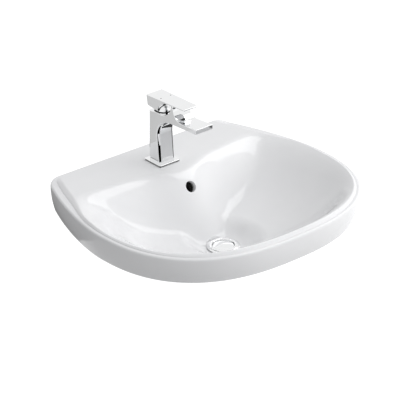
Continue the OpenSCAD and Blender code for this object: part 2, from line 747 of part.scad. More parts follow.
module lever_stem() {
    color("gray") at_cart() difference() {
        union() {
            translate([-stem_w / 2, -stem_t / 2, stem_foot_z])
                cube([stem_w, stem_t, stem_top - stem_foot_z]);
            translate([0, 0, pivot_z]) rotate([0, 90, 0]) rod(stem_eye_r, -stem_w / 2, stem_w / 2);
        }
        translate([0, 0, pivot_z]) rotate([0, 90, 0]) rod(pin_r + fit_gap, -stem_w, stem_w);
    }
}

module cartridge_nut() {
    color("goldenrod") at_cart() tube(nut_r, neck_r + run_gap, nut_z, nut_z + nut_h);
}

// The round chromed cap that hides the pivot, slotted for the stem
module dome_cap() {
    slot_back = cap_r * sin(lift_max) + stem_t / 2 + 2 * run_gap;
    color("silver") at_cart() difference() {
        translate([0, 0, pivot_z]) sphere(r = cap_r, $fn = round_n);
        translate([0, 0, pivot_z]) sphere(r = cap_r - cap_t, $fn = round_n);
        translate([-cap_r - cut, -cap_r - cut, pivot_z - cap_r - cut])
            cube([2 * cap_r + 2 * cut, 2 * cap_r + 2 * cut, cap_foot_z - pivot_z + cap_r + cut]);
        translate([-stem_w / 2 - run_gap, -stem_t / 2 - run_gap, pivot_z + stem_eye_r])
            cube([stem_w + 2 * run_gap, slot_back + stem_t / 2 + run_gap, cap_r]);
    }
}

// Lever

module lever() {
    color("silver") at_tap() difference() {
        intersection() {
            from_side(lever_side, 2 * lever_w);
            translate([0, 0, lever_low_z - cut]) linear_extrude(lever_tip_z) polygon(lever_plan);
        }
        translate([0, -cart_y, 0]) {
            translate([0, 0, pivot_z]) sphere(r = cap_r + 2 * run_gap, $fn = round_n);
            translate([-stem_w / 2 - fit_gap, -stem_t / 2 - fit_gap, pivot_z])
                cube([stem_w + 2 * fit_gap, stem_t + 2 * fit_gap, stem_top + fit_gap - pivot_z]);
        }
        translate([0, 0, screw_z]) rotate([-90, 0, 0]) rod(screw_r + fit_gap, -cart_y, lever_rear + cut);
        at_dots() rod(dot_d / 2 + fit_gap, -dot_t, cut);
    }
}

// The grub screw that holds the lever on its stem
module lever_screw() {
    color("dimgray") at_tap() translate([0, 0, screw_z]) rotate([-90, 0, 0]) difference() {
        rod(screw_r, stem_t / 2 - cart_y, stem_t / 2 - cart_y + screw_l);
        translate([0, 0, stem_t / 2 - cart_y + screw_l / 2])
            cylinder(r = screw_key_r, h = screw_l, $fn = 6);
    }
}

// Puts a dot's parts on both sides of the lever's top, z square to the top
module at_dots() {
    for (side = [-1, 1])
        translate([side * dot_span / 2, -dot_y, lever_top(dot_y)]) rotate([-lever_slope, 0, 0]) children();
}

module index_dots() {
    color("darkgray") at_tap() at_dots() rod(dot_d / 2, -dot_t, 0.1);
}

// Aerator

module aerator_shell() {
    color("silver") at_aerator() tube(aerator_d / 2, insert_r, -aerator_lip, aerator_h - aerator_seal_t);
}

// The insert's jets, one in the middle and rings of six, twelve and more round it
module aerator_insert() {
    rings_n = floor((insert_r - jet_d) / jet_pitch);
    color("white") at_aerator() difference() {
        rod(insert_r - fit_gap, -aerator_lip / 2, aerator_h - aerator_seal_t);
        rod(jet_d / 2, -cut, aerator_h);
        for (k = [1:rings_n], i = [0:6 * k - 1])
            rotate([0, 0, 60 * i / k]) translate([k * jet_pitch, 0, 0]) rod(jet_d / 2, -cut, aerator_h);
    }
}

module aerator_seal() {
    color("black") at_aerator()
        tube(aerator_d / 2, insert_r - 1, aerator_h - aerator_seal_t, aerator_h);
}

// Tap fastening

module tap_stud() {
    color("goldenrod") at_tap() translate([0, stud_y, 0]) rod(stud_d / 2, -stud_l, stud_top);
}

// A round plate, open to the front for the two water hoses and drilled for the stud
module horseshoe(z0, z1) {
    gap = inlet_span + inlet_d + 2 * hose_gap;
    gap_end = inlet_d / 2 + hose_gap - inlet_y;
    difference() {
        rod(clamp_d / 2, z0, z1);
        translate([-gap / 2, -clamp_d, z0 - cut]) cube([gap, clamp_d + gap_end, z1 - z0 + 2 * cut]);
        translate([0, stud_y, 0]) rod(stud_d / 2 + fit_gap, z0 - cut, z1 + cut);
    }
}

module clamp_pad() { color("black") at_tap() horseshoe(clamp_z, -wall_t); }
module clamp_plate() { color("gray") at_tap() horseshoe(plate_z, clamp_z); }

module stud_nut() {
    color("goldenrod") at_tap() translate([0, stud_y, 0]) difference() {
        translate([0, 0, plate_z - nut_l]) cylinder(d = nut_flats / cos(30), h = nut_l, $fn = 6);
        rod(stud_d / 2 + fit_gap, plate_z - nut_l - cut, plate_z + cut);
    }
}

// Waste

module waste_body() {
    color("silver") at_waste() difference() {
        union() {
            rotate_extrude($fn = round_n) polygon(waste_profile);
            intersection() {
                union() {
                    rod(hub_r, bridge_z, bridge_z + bridge_h);
                    translate([-tube_r, -hub_r / 2, bridge_z]) cube([2 * tube_r, hub_r, bridge_h]);
                    translate([-hub_r / 2, -tube_r, bridge_z]) cube([hub_r, 2 * tube_r, bridge_h]);
                }
                rod(tube_r - tube_t / 2, bridge_z - cut, bridge_z + bridge_h + cut);
            }
        }
        rod(click_r + fit_gap, bridge_z - cut, bridge_z + bridge_h + cut);
        for (a = [0, 90]) rotate([0, 0, a]) overflow_slot();
    }
}

// An oblong slot right through the tube, level with the overflow's channel
module overflow_slot() {
    translate([0, tube_d, -duct_exit_z]) rotate([90, 0, 0]) {
        for (side = [-1, 1]) translate([0, side * slot_h / 4, 0]) rod(slot_h / 4, 0, 2 * tube_d);
        translate([-slot_h / 4, -slot_h / 4, 0]) cube([slot_h / 2, slot_h / 2, 2 * tube_d]);
    }
}

module waste_top_seal() {
    color("black") at_waste() tube(flange_d / 2 - 1.5, waste_hole_d / 2 + 1, -bowl_depth, flange_z);
}

module waste_plug() {
    color("silver") at_waste() rotate_extrude($fn = round_n) polygon(plug_profile);
}

module plug_seal() {
    color("black") at_waste() rotate_extrude($fn = round_n)
        translate([seal_mid_r, seal_mid_z]) circle(r = seal_wire_r, $fn = 24);
}

module click_housing() {
    color("white") at_waste() difference() {
        rod(click_r, click_top - click_len, click_top);
        rod(piston_r + run_gap, click_top - click_len + click_floor, click_top - click_lip);
        rod(stem_r + run_gap, click_top - click_len / 2, click_top + cut);
    }
}

// The spring under the plug's stem, one tube wound up a helix
module click_spring() {
    steps = 8 * spring_turns;
    sides = 6;
    z0 = click_top - click_len + click_floor + spring_wire_r;
    z1 = piston_z - spring_wire_r;
    loops = [for (i = [0:steps])
        let (a = 360 * spring_turns * i / steps)
        let (z = mix(z0, z1, i / steps))
        [for (k = [0:sides - 1])
            let (r = spring_r + spring_wire_r * cos(360 * k / sides))
            [r * cos(a), r * sin(a), z + spring_wire_r * sin(360 * k / sides)]]];
    color("silver") at_waste() skin([for (i = [steps:-1:0]) loops[i]]);
}

module cone_seal() {
    color("black") at_waste() rotate_extrude($fn = round_n)
        polygon([[tube_r + fit_gap, slip_top], [cone_r, slip_top], [cone_r - 3, cone_top],
            [tube_r + fit_gap, cone_top]]);
}

module slip_washer() {
    color("white") at_waste() tube(cone_r + 1, tube_r + fit_gap, back_nut_top, slip_top);
}

module back_nut() {
    color("goldenrod") at_waste() difference() {
        translate([0, 0, back_nut_top - back_nut_h])
            cylinder(d = back_nut_flats / cos(30), h = back_nut_h, $fn = 6);
        rod(tube_r + fit_gap, back_nut_top - back_nut_h - cut, back_nut_top + cut);
    }
}

basin_body();
tap_body();
base_plate();
base_seal();
cartridge_seal();
cartridge_housing();
fixed_disc();
moving_disc();
lever_carrier();
pivot_pin();
lever_stem();
cartridge_nut();
dome_cap();
lever();
lever_screw();
index_dots();
aerator_shell();
aerator_insert();
aerator_seal();
tap_stud();
clamp_pad();
clamp_plate();
stud_nut();
waste_body();
waste_top_seal();
waste_plug();
plug_seal();
click_housing();
click_spring();
cone_seal();
slip_washer();
back_nut();
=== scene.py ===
# %% [markdown]
# # A wall-hung washbasin, its tap and its waste
#
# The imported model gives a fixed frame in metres: X runs along the wall, Y goes into the wall and Z
# is up. The finished pieces of this lesson stand in that frame, over the nodes that they replace.
# Hidden pieces, such as nuts and seals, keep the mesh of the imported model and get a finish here.

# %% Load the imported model
import json
import math

import bpy
import numpy as np
from mathutils import Matrix, Vector


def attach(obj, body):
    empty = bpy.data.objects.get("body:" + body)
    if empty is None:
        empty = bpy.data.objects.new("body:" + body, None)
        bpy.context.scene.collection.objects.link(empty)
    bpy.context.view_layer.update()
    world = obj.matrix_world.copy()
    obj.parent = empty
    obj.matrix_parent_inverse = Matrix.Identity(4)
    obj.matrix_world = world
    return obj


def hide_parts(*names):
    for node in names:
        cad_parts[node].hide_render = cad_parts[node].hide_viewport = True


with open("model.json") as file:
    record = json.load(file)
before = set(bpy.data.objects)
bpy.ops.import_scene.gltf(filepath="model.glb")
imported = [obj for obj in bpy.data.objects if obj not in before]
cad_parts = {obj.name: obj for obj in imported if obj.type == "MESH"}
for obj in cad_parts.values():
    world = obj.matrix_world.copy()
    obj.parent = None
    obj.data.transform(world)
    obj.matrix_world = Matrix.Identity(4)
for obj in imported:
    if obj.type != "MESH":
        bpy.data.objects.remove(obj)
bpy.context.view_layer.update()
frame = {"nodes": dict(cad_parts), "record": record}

nodes = frame["nodes"]

# %% [markdown]
# ## Places
#
# A drawing of a basin gives millimetres from the wall and from the top of the rim, so the shapes
# below are written in them. One function turns such a point into the frame's metres, and two more
# count from the centres of the tap hole and of the waste.

# %% Places in millimetres
rim_z = 0.070
tap_out, waste_out = 76, 261


def spot(x, out, z):
    """The frame's point x mm to the right, out mm from the wall and z mm above the rim."""
    return Vector((x / 1000, -out / 1000, rim_z + z / 1000))


def at_tap(x, forward, z):
    return spot(x, tap_out + forward, z)


def at_waste(x, forward, z):
    return spot(x, waste_out + forward, z)


def in_mm(point):
    """The way back from spot."""
    return np.array((point.x, -point.y, point.z - rim_z)) * 1000


print("tap hole's centre", [round(v, 3) for v in at_tap(0, 0, 0)])

# %% [markdown]
# ## Camera
#
# The photograph looks down on the basin from its left, from a few metres away, so its lines hardly
# converge. The camera is built from that direction: three axes at right angles give its rotation,
# and a long lens gives the same flat perspective without any shift.


# %% Camera
def toward(turn, height):
    """The direction turn degrees to the right of straight out, and height degrees up."""
    turn, height = math.radians(turn), math.radians(height)
    return Vector((math.sin(turn) * math.cos(height), -math.cos(turn) * math.cos(height),
                   math.sin(height)))


side_turn, look_down, camera_distance = -40.15, 27.09, 4
bowl_middle = spot(0, 230, 0)
to_camera = toward(side_turn, look_down)
camera_right = Vector((math.cos(math.radians(side_turn)), math.sin(math.radians(side_turn)), 0))
camera_up = to_camera.cross(camera_right)
aim_right, aim_up, lens, sensor = -0.0251, -0.0242, 188.6, 36
aim = bowl_middle + aim_right * camera_right + aim_up * camera_up
bpy.ops.object.camera_add(location=aim + camera_distance * to_camera)
camera = bpy.context.object
camera.name = "photo_camera"
camera.rotation_euler = Matrix((camera_right, camera_up, to_camera)).transposed().to_euler()
camera.data.lens, camera.data.sensor_width = lens, sensor
bpy.context.scene.camera = camera
bpy.context.scene.view_settings.view_transform = "Standard"
print("camera at", [round(v, 3) for v in camera.location])

# %% [markdown]
# ## Shader nodes
#
# The world, the floor, the cards and the finishes are all made of nodes. Adding a node, setting it
# and wiring it is the same work each time, so a few short functions do it.


# %% Adding and wiring nodes
def fill(tree, node, inputs):
    """Sets inputs of a node, each to a value or to another node's output. Colours are RGB."""
    for key, value in inputs.items():
        socket = node.inputs[key]
        if isinstance(value, bpy.types.NodeSocket):
            tree.links.new(value, socket)
        else:
            socket.default_value = (*value, 1) if socket.type == "RGBA" else value


def add_node(tree, kind, inputs=None, **settings):
    node = tree.nodes.new("ShaderNode" + kind)
    for key, value in settings.items():
        setattr(node, key, value)
    fill(tree, node, inputs or {})
    return node


def calc(tree, operation, *values, kind="Math", result="Value"):
    """One step of reckoning. Returns the output that holds its result."""
    return add_node(tree, kind, dict(enumerate(values)), operation=operation).outputs[result]


def empty_material(name):
    material = bpy.data.materials.new(name)
    material.use_nodes = True
    material.node_tree.nodes.clear()
    return material


print("node helpers ready")

# %% [markdown]
# ## Light and floor
#
# White glaze shows its shape only where the light differs from side to side. Most of the light comes
# from the world, which grows slowly stronger towards the front right and overhead, so that nothing
# throws a hard shadow, and a large soft lamp low at the front right adds a little more. Cameras and
# reflections see the world plain white. The floor lies as far below the rim as a real floor does.

# %% World
ambient = 0.63
leaning = (0.43, -0.33, 0.37)
world = bpy.context.scene.world or bpy.data.worlds.new("studio")
bpy.context.scene.world = world
world.use_nodes = True
sky = world.node_tree
sky.nodes.clear()
way = add_node(sky, "TexCoord").outputs["Generated"]
level = calc(sky, "ADD", calc(sky, "DOT_PRODUCT", way, leaning, kind="VectorMath"), ambient)
soft_sky = add_node(sky, "Background", {"Color": (0.985, 0.988, 1), "Strength": level})
seen_sky = add_node(sky, "Background", {"Color": (1, 1, 1)})
ray = add_node(sky, "LightPath")
sharp = calc(sky, "MAXIMUM", ray.outputs["Is Glossy Ray"], ray.outputs["Is Transmission Ray"])
direct = calc(sky, "MAXIMUM", ray.outputs["Is Camera Ray"], sharp)
choose = add_node(sky, "MixShader", {0: direct, 1: soft_sky.outputs[0], 2: seen_sky.outputs[0]})
add_node(sky, "OutputWorld", {"Surface": choose.outputs[0]})
print("world: white to the eye,", ambient, "as light")


# %% Lamp, and a bright panel that only glaze and chrome show
def area_lamp(name, direction, distance, size, watts):
    bpy.ops.object.light_add(type="AREA", location=bowl_middle + distance * direction)
    lamp = bpy.context.object
    lamp.name = name
    lamp.rotation_euler = direction.to_track_quat("Z", "Y").to_euler()
    lamp.data.shape, lamp.data.size = "SQUARE", size
    lamp.data.energy = watts
    print(name, "power", round(watts, 1), "W")
    return lamp


key_gain, key_distance, key_size = 0.38, 2.6, 2.2
key = area_lamp("key_lamp", toward(56, 8), key_distance, key_size,
                key_gain * math.pi ** 2 * key_distance ** 2)
key.visible_glossy = False
panel_brightness, panel_distance, panel_size = 2.2, 2.5, 1.8
panel = area_lamp("edge_panel", toward(90, 54), panel_distance, panel_size,
                  panel_brightness * math.pi * panel_size ** 2)
panel.visible_diffuse = panel.visible_camera = panel.visible_transmission = False

# %% Floor
floor_z, floor_size, floor_colour, floor_glow = -0.78, 14, (0.42, 0.42, 0.42), 0.75
bpy.ops.mesh.primitive_plane_add(size=floor_size, location=(0, 0, floor_z))
floor = bpy.context.object
floor.name = "floor"
floor_paint = empty_material("pale_floor")
paint = floor_paint.node_tree
path = add_node(paint, "LightPath")
eye = calc(paint, "MAXIMUM", path.outputs["Is Camera Ray"], path.outputs["Is Glossy Ray"])
glow = add_node(paint, "Emission", {"Strength": calc(paint, "MULTIPLY", eye, floor_glow)})
matt = add_node(paint, "BsdfDiffuse", {"Color": floor_colour})
both = add_node(paint, "AddShader", {0: matt.outputs[0], 1: glow.outputs[0]})
add_node(paint, "OutputMaterial", {"Surface": both.outputs[0]})
floor.data.materials.append(floor_paint)
print("floor", round(rim_z - floor_z, 2), "m below the rim")

# %% [markdown]
# ### Dark cards for the chrome
#
# Chrome shows nothing but its surroundings, so in a white room it would vanish. A photographer sets
# black cards beside it, which draw thin dark lines along its rounded edges. Reflections alone see the
# cards here: one stands behind the plane of the wall, and small ones lie just over the rim's height.


# %% Flags that only reflections see
def flag(name, corners, fade=(-1, 1), tones=(0, 0), one_sided=False):
    """A card through four corners. Its tone changes along X, and one_sided shows only its front."""
    bpy.ops.mesh.primitive_plane_add(size=1)
    card = bpy.context.object
    card.name = name
    for number, corner in zip(card.data.polygons[0].vertices, corners):
        card.data.vertices[number].co = corner
    cloth = empty_material(name + "_cloth")
    weave = cloth.node_tree
    place = add_node(weave, "SeparateXYZ", {0: add_node(weave, "TexCoord").outputs["Object"]})
    tone = add_node(weave, "MapRange", {"Value": place.outputs["X"], "From Min": fade[0],
                                        "From Max": fade[1], "To Min": tones[0], "To Max": tones[1]})
    shown = add_node(weave, "Emission", {"Strength": tone.outputs["Result"]})
    if one_sided:
        side = add_node(weave, "NewGeometry")
        clear = add_node(weave, "BsdfTransparent")
        shown = add_node(weave, "MixShader", {0: side.outputs["Backfacing"], 1: shown.outputs[0],
                                              2: clear.outputs[0]})
    add_node(weave, "OutputMaterial", {"Surface": shown.outputs[0]})
    card.data.materials.append(cloth)
    card.visible_camera = card.visible_diffuse = card.visible_shadow = False
    card.visible_transmission = False
    print(name, "facing", [round(v, 2) for v in card.data.polygons[0].normal])


card_half, behind_wall, card_low, card_high, over_rim = 3, 0.9, -0.77, -0.35, 0.5
flag("rear_flag", [(-card_half, behind_wall, card_low), (card_half, behind_wall, card_low),
                   (card_half, behind_wall, card_high), (-card_half, behind_wall, card_high)],
     fade=(-1.2, 0.5), tones=(0.82, 0.0))
for name, tone, corners in (
        ("left_flag", 0, [(-28.4, 93.2), (-247, 62), (-55, 219), (-22, 103.2)]),
        ("right_flag", 0.05, [(27.4, 100.7), (224, 255), (278, 72), (29.5, 93.6)]),
        ("lever_flag", 0.1, [(169, 392), (205, 392), (205, 362), (169, 362)]),
        ("plate_left_flag", 0.2, [(-25, 51), (-31, 51), (-31, 101), (-25, 101)]),
        ("plate_front_flag", 0.2, [(-25, 101), (-25, 107), (31, 107), (31, 101)])):
    flag(name, [spot(x, out, over_rim) for x, out in corners], tones=(tone, tone), one_sided=True)

# %% [markdown]
# ## Handling one object at a time
#
# An operator works on everything that is selected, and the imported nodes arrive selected. So each
# step first picks one object and nothing else.


# %% Picking and finishing an object
def only(piece):
    if bpy.context.object and bpy.context.object.mode != "OBJECT":
        bpy.ops.object.mode_set(mode="OBJECT")
    bpy.ops.object.select_all(action="DESELECT")
    piece.select_set(True)
    bpy.context.view_layer.objects.active = piece


def settle(name):
    """Names the new object and puts its place and turn into its mesh."""
    piece = bpy.context.object
    only(piece)
    bpy.ops.object.transform_apply(location=True, rotation=True, scale=True)
    piece.name = piece.data.name = name
    return piece


def apply_step(piece, kind, **settings):
    """Adds a modifier, sets it and applies it."""
    only(piece)
    step = piece.modifiers.new(kind.lower(), kind)
    for key, value in settings.items():
        setattr(step, key, value)
    bpy.ops.object.modifier_apply(modifier=step.name)


def tidy_normals(piece):
    only(piece)
    bpy.ops.object.mode_set(mode="EDIT")
    bpy.ops.mesh.select_all(action="SELECT")
    bpy.ops.mesh.remove_doubles(threshold=1e-7)
    bpy.ops.mesh.normals_make_consistent(inside=False)
    bpy.ops.object.mode_set(mode="OBJECT")


def report(piece):
    """Prints how many faces a piece has, and how many edges don't join exactly two of them."""
    used = np.empty(len(piece.data.loops), np.int32)
    piece.data.loops.foreach_get("edge_index", used)
    faces_at = np.bincount(used, minlength=len(piece.data.edges))
    print(piece.name, "faces:", len(piece.data.polygons), "open edges:", int((faces_at != 2).sum()))


bpy.ops.object.select_all(action="DESELECT")
print("selected objects:", len(bpy.context.selected_objects))

# %% [markdown]
# ## Cutting
#
# Holes are drilled with a boolean, as the real parts are drilled or cast over cores. The cutter is a
# cylinder that runs a little past the faces that it cuts, and it is thrown away afterwards.


# %% Drills and other cutters
def carve(piece, cutter, operation="DIFFERENCE"):
    apply_step(piece, "BOOLEAN", operation=operation, solver="MANIFOLD", object=cutter)
    bpy.data.objects.remove(cutter, do_unlink=True)


def rod(name, radius, start, end, sides=72):
    """A cylinder between two points of the frame, with its radius in millimetres."""
    line = end - start
    bpy.ops.mesh.primitive_cylinder_add(vertices=sides, radius=radius / 1000, depth=line.length,
                                        location=(start + end) / 2,
                                        rotation=line.to_track_quat("Z", "Y").to_euler())
    return settle(name)


def drill(piece, radius, start, end, sides=72):
    carve(piece, rod("drill", radius, start, end, sides))


def block(name, low, high):
    bpy.ops.mesh.primitive_cube_add(size=1, location=(low + high) / 2, scale=high - low)
    return settle(name)


print("cutters ready")

# %% [markdown]
# ## The ceramic
#
# The basin is cast in a mould and glazed, so it is one skin with no seams. Sculpting would lose its
# even thickness, and a subdivision cage can't hold the narrow ledge beside the broad soft deck. Here
# a flat grid is wrapped round instead: each row of the grid becomes one closed ring of the basin, from
# the boss under the waste, up inside the apron, round its foot, over the ledge and the rim, and down
# into the bowl. Plain formulas place the rings, in millimetres. Their Y grows towards the wall, as the
# frame's does, and their Z is counted from the top of the rim.

# %% Main sizes of the ceramic
half_w, depth_out, widest = 280, 474, 224
rear_reach, rear_power, front_power, corner_soft = 480, 1.53, 2.5, 22
rim_w, wall_t = 23, 12
ledge_front, ledge_rear, ledge_drop, rise_w, edge_r = 7, 15, 6, 6, 4
wall_edge_r, foot_r, apron_taper = 1.5, 4, 8
apron_front, apron_rear, panel_h, panel_t, panel_half, panel_flare = 60, 64, 126, 14, 168, 14
bowl_depth, dish_depth, sump_r, seat_r = 116, 95, 85, 34
bowl_half, bowl_rear, bowl_front = half_w - rim_w, 245, depth_out - waste_out - rim_w
bowl_power, bowl_soft = 2.4, 20
valley_far, valley_near, floor_soft, back_soft, end_soft = 24, 20, 20, 30, 14
valley_span, soft_front, soft_rear, end_across, end_along = (250, 60), 200, 150, (110, 210), (-340, -230)
deck_d, tap_land, land_w = 116, 33, 70
boss_r, boss_z, boss_nose, nose_spread = 46, bowl_depth + 32, 26, 30
duct_cover, cover_w = 22, 22
back_slope = math.atan(bowl_depth / (waste_out - seat_r - deck_d - tap_land))
print("slope of the bowl's back:", round(math.degrees(back_slope), 1), "degrees")


# %% Curves that the formulas share
def soft_min(a, b, k):
    return np.minimum(a, b) - np.maximum(k - np.abs(a - b), 0) ** 2 / (4 * k)


def soft_max(a, b, k):
    return -soft_min(-a, -b, k)


def ramp(v, low, high):
    f = np.clip((v - low) / (high - low), 0, 1)
    return f * f * (3 - 2 * f)


def mix(a, b, f):
    return a + (b - a) * f


def oval_r(t, a, b, n):
    return (np.abs(np.cos(t) / a) ** n + np.abs(np.sin(t) / b) ** n) ** (-1 / n)


columns, crowding = 432, 6.4
even = 2 * math.pi * np.arange(columns) / columns
angles = even - math.radians(crowding) * np.sin(4 * (even - math.pi / 4))
cos_t, sin_t = np.cos(angles), np.sin(angles)
rear_half = sin_t > 0.001
safe_sin = np.where(rear_half, sin_t, 1)
print("columns:", columns)


# %% Plan of the rim and of the bowl
def outline(side_in, wall_in):
    """The outline, drawn in along its curve by side_in and from the wall by wall_in."""
    rear = soft_min(oval_r(angles, half_w - side_in, rear_reach - side_in, rear_power),
                    (widest - wall_in) / safe_sin, corner_soft)
    front = oval_r(angles, half_w - side_in, depth_out - widest - side_in, front_power)
    r = np.where(rear_half, rear, front)
    return r * cos_t, r * sin_t - widest


def land(x):
    return deck_d + tap_land * np.exp(-(x / land_w) ** 2)


def bowl_edge():
    rear = soft_min(oval_r(angles, bowl_half, bowl_rear, 2),
                    (waste_out - land((waste_out - deck_d) * cos_t / safe_sin)) / safe_sin, bowl_soft)
    r = np.where(rear_half, rear, oval_r(angles, bowl_half, bowl_front, bowl_power))
    return r * cos_t, r * sin_t - waste_out


def bowl_at(s):
    x, y = bowl_edge()
    return mix(x, seat_r * cos_t, s), mix(y, seat_r * sin_t - waste_out, s)


rim_x, rim_y = outline(0, 0)
print("rim:", round(float(np.ptp(rim_x)), 1), "by", round(float(-rim_y.min()), 1), "mm")


# %% Height of the glaze
def dish(x, y):
    v = y + waste_out
    n = np.where(v > 0, 2, bowl_power)
    reach = np.where(v > 0, bowl_rear, bowl_front)
    rho = (np.abs(x / bowl_half) ** n + np.abs(v / reach) ** n) ** (1 / n)
    hollow = ramp(sump_r - np.hypot(x, v), 0, sump_r - seat_r)
    return mix(dish_depth * (1 - rho ** 3), bowl_depth, hollow)


def glaze_z(x, y):
    """The deck is flat, the back slopes down to the waste, and a soft valley joins it to the floor."""
    valley = mix(valley_far, valley_near, ramp(np.hypot(x, y + waste_out), *valley_span))
    drop = soft_min(dish(x, y), (-y - land(x)) * math.tan(back_slope), valley)
    soft = mix(floor_soft, back_soft, ramp(y, -soft_front, -soft_rear))
    soft = soft + end_soft * ramp(np.abs(x), *end_across) * ramp(y, *end_along)
    return -soft_max(0, drop, soft)


def below(x, y):
    """Downward normal of the glaze."""
    gx = (glaze_z(x + 0.5, y) - glaze_z(x - 0.5, y))
    gy = (glaze_z(x, y + 0.5) - glaze_z(x, y - 0.5))
    size = np.sqrt(gx ** 2 + gy ** 2 + 1)
    return gx / size, gy / size, -1 / size


print("glaze at the waste:", round(float(glaze_z(0.0, -float(waste_out))), 1), "mm")

# %% Shares along the outline
wallness = ramp(sin_t, 0.67, 0.75)
panelness = ramp(sin_t, math.sin(math.atan2(widest, panel_half + panel_flare)),
                 math.sin(math.atan2(widest, panel_half)))
foot_z = -mix(mix(apron_front, apron_rear, ramp(sin_t, -0.9, 0.75)), panel_h, panelness)
widening = ramp(sin_t, 0.15, 0.5)
ledge = mix(ledge_front, ledge_rear, widening)
rise = rise_w * (1 + widening)
flat = np.zeros(columns)
print("ledge from", round(float(ledge.min()), 1), "to", round(float(ledge.max()), 1), "mm wide")


# %% Rings of the underside and of the apron
def draw_in(f):
    return apron_taper * (1 - f) ** 2


def ring_boss(r, z):
    """Round, with a nose towards the wall that holds the overflow's duct."""
    reach = r + boss_nose * np.exp(-((np.degrees(angles) - 90) / nose_spread) ** 2)
    return reach * cos_t, reach * sin_t - waste_out, flat + z


def ring_under(s):
    x, y = bowl_at(s)
    thick = wall_t + duct_cover * np.exp(-(x / cover_w) ** 2) * ramp(sin_t, 0, 0.6)
    nx, ny, nz = below(x, y)
    return x + nx * thick, y + ny * thick, glaze_z(x, y) + nz * thick


def roof_z():
    return -mix(wall_t + ledge_drop, wall_t, ramp(sin_t, 0.3, 0.78))


def ring_roof(f):
    ox, oy = outline(wall_t, panel_t)
    ix, iy, iz = ring_under(0.05)
    z = iz if f > 0.9 else mix(roof_z(), iz, ramp(sin_t, 0.78, 0.3) * f)
    return mix(ox, ix, f), mix(oy, iy, f), z


def ring_inner(f):
    x, y = outline(wall_t + draw_in(f), panel_t)
    return x, y, mix(foot_z, roof_z(), f)


def ring_foot(k):
    a = math.pi / 2 * k
    x, y = outline(apron_taper + foot_r * (1 - math.sin(a)),
                   mix(foot_r, 1, panelness) * (1 - math.sin(a)))
    return x, y, foot_z + foot_r * (1 - math.cos(a))


def ring_apron(f):
    x, y = outline(draw_in(f), 0)
    return x, y, mix(foot_z + foot_r, -mix(ledge_drop + edge_r, wall_edge_r, wallness), f)


print("apron draws in", apron_taper, "mm")


# %% Rings of the ledge, the deck and the bowl
def ring_edge(k):
    a = math.pi / 2 * k
    x, y = outline(edge_r * (1 - math.cos(a)), wall_edge_r * (1 - math.cos(a)))
    side_z = ledge_drop + edge_r * (1 - math.sin(a))
    return x, y, -mix(side_z, wall_edge_r * (1 - math.sin(a)), wallness)


def ledge_plan(width):
    return outline(width, wall_edge_r + 0.15 * (width - edge_r))


def ring_ledge(f):
    x, y = ledge_plan(mix(edge_r, ledge, f))
    return x, y, -ledge_drop * (1 - wallness)


def ring_rise(f):
    x, y = ledge_plan(ledge + rise * f)
    return x, y, mix(-ledge_drop * (1 - wallness), glaze_z(x, y), ramp(f, -0.35, 1))


def ring_deck(f):
    ox, oy = ledge_plan(ledge + rise)
    ix, iy = bowl_edge()
    x, y = mix(ox, ix, f), mix(oy, iy, f)
    return x, y, glaze_z(x, y)


def ring_bowl(s):
    x, y = bowl_at(s)
    return x, y, flat - bowl_depth if s == 1 else glaze_z(x, y)


rows = [ring_boss(boss_r - 2, -boss_z), ring_boss(boss_r, -boss_z + 12)]
rows += [ring_under(s) for s in np.linspace(0.8, 0.12, 12)]
rows += [ring_roof(f) for f in (1, 0.72, 0)]
rows += [ring_inner(f) for f in (0.5, 0.04)]
rows += [ring_foot(k) for k in np.linspace(0, 1, 5)]
rows += [ring_apron(f) for f in np.linspace(0, 1, 12)[1:]]
rows += [ring_edge(k) for k in np.linspace(0, 1, 8)[1:]]
rows += [ring_ledge(f) for f in (0.35, 0.7, 1)]
rows += [ring_rise(f) for f in np.linspace(0, 1, 10)[1:]]
rows += [ring_deck(f) for f in np.linspace(0, 1, 22)[1:-1]]
rows += [ring_bowl(s) for s in np.linspace(0, 1, 62) ** 1.15]
rings = np.array([np.stack(row, axis=-1) for row in rows])
print("rings:", len(rings))

# %% [markdown]
# The grid primitive has one more column than the rings have points, so its last column falls on its
# first and the two are merged. Its two open ends are filled, and then its faces are turned outwards.

# %% Wrap the grid
bpy.ops.mesh.primitive_grid_add(x_subdivisions=columns, y_subdivisions=len(rings) - 1, size=1)
basin = settle("ceramic_basin")
corner = np.empty(len(basin.data.vertices) * 3)
basin.data.vertices.foreach_get("co", corner)
corner = corner.reshape(-1, 3)
across = np.rint((corner[:, 0] + 0.5) * columns).astype(int) % columns
along = np.rint((corner[:, 1] + 0.5) * (len(rings) - 1)).astype(int)
placed = rings[along, across] / 1000 + np.array([0, 0, rim_z])
basin.data.vertices.foreach_set("co", placed.ravel())
only(basin)
bpy.ops.object.mode_set(mode="EDIT")
bpy.ops.mesh.select_all(action="SELECT")
bpy.ops.mesh.remove_doubles(threshold=1e-6)
bpy.ops.mesh.fill_holes(sides=0)
bpy.ops.mesh.normals_make_consistent(inside=False)
bpy.ops.object.mode_set(mode="OBJECT")
report(basin)

# %% [markdown]
# ### Holes in the ceramic
#
# The tap hole, the waste hole and the two holes for the hanger bolts are plain. The overflow is
# different: its mouth is rounded over by the glaze, so its cutter flares like a trumpet. A circle is
# extruded along its axis in small steps, and each new ring is scaled to the next radius.


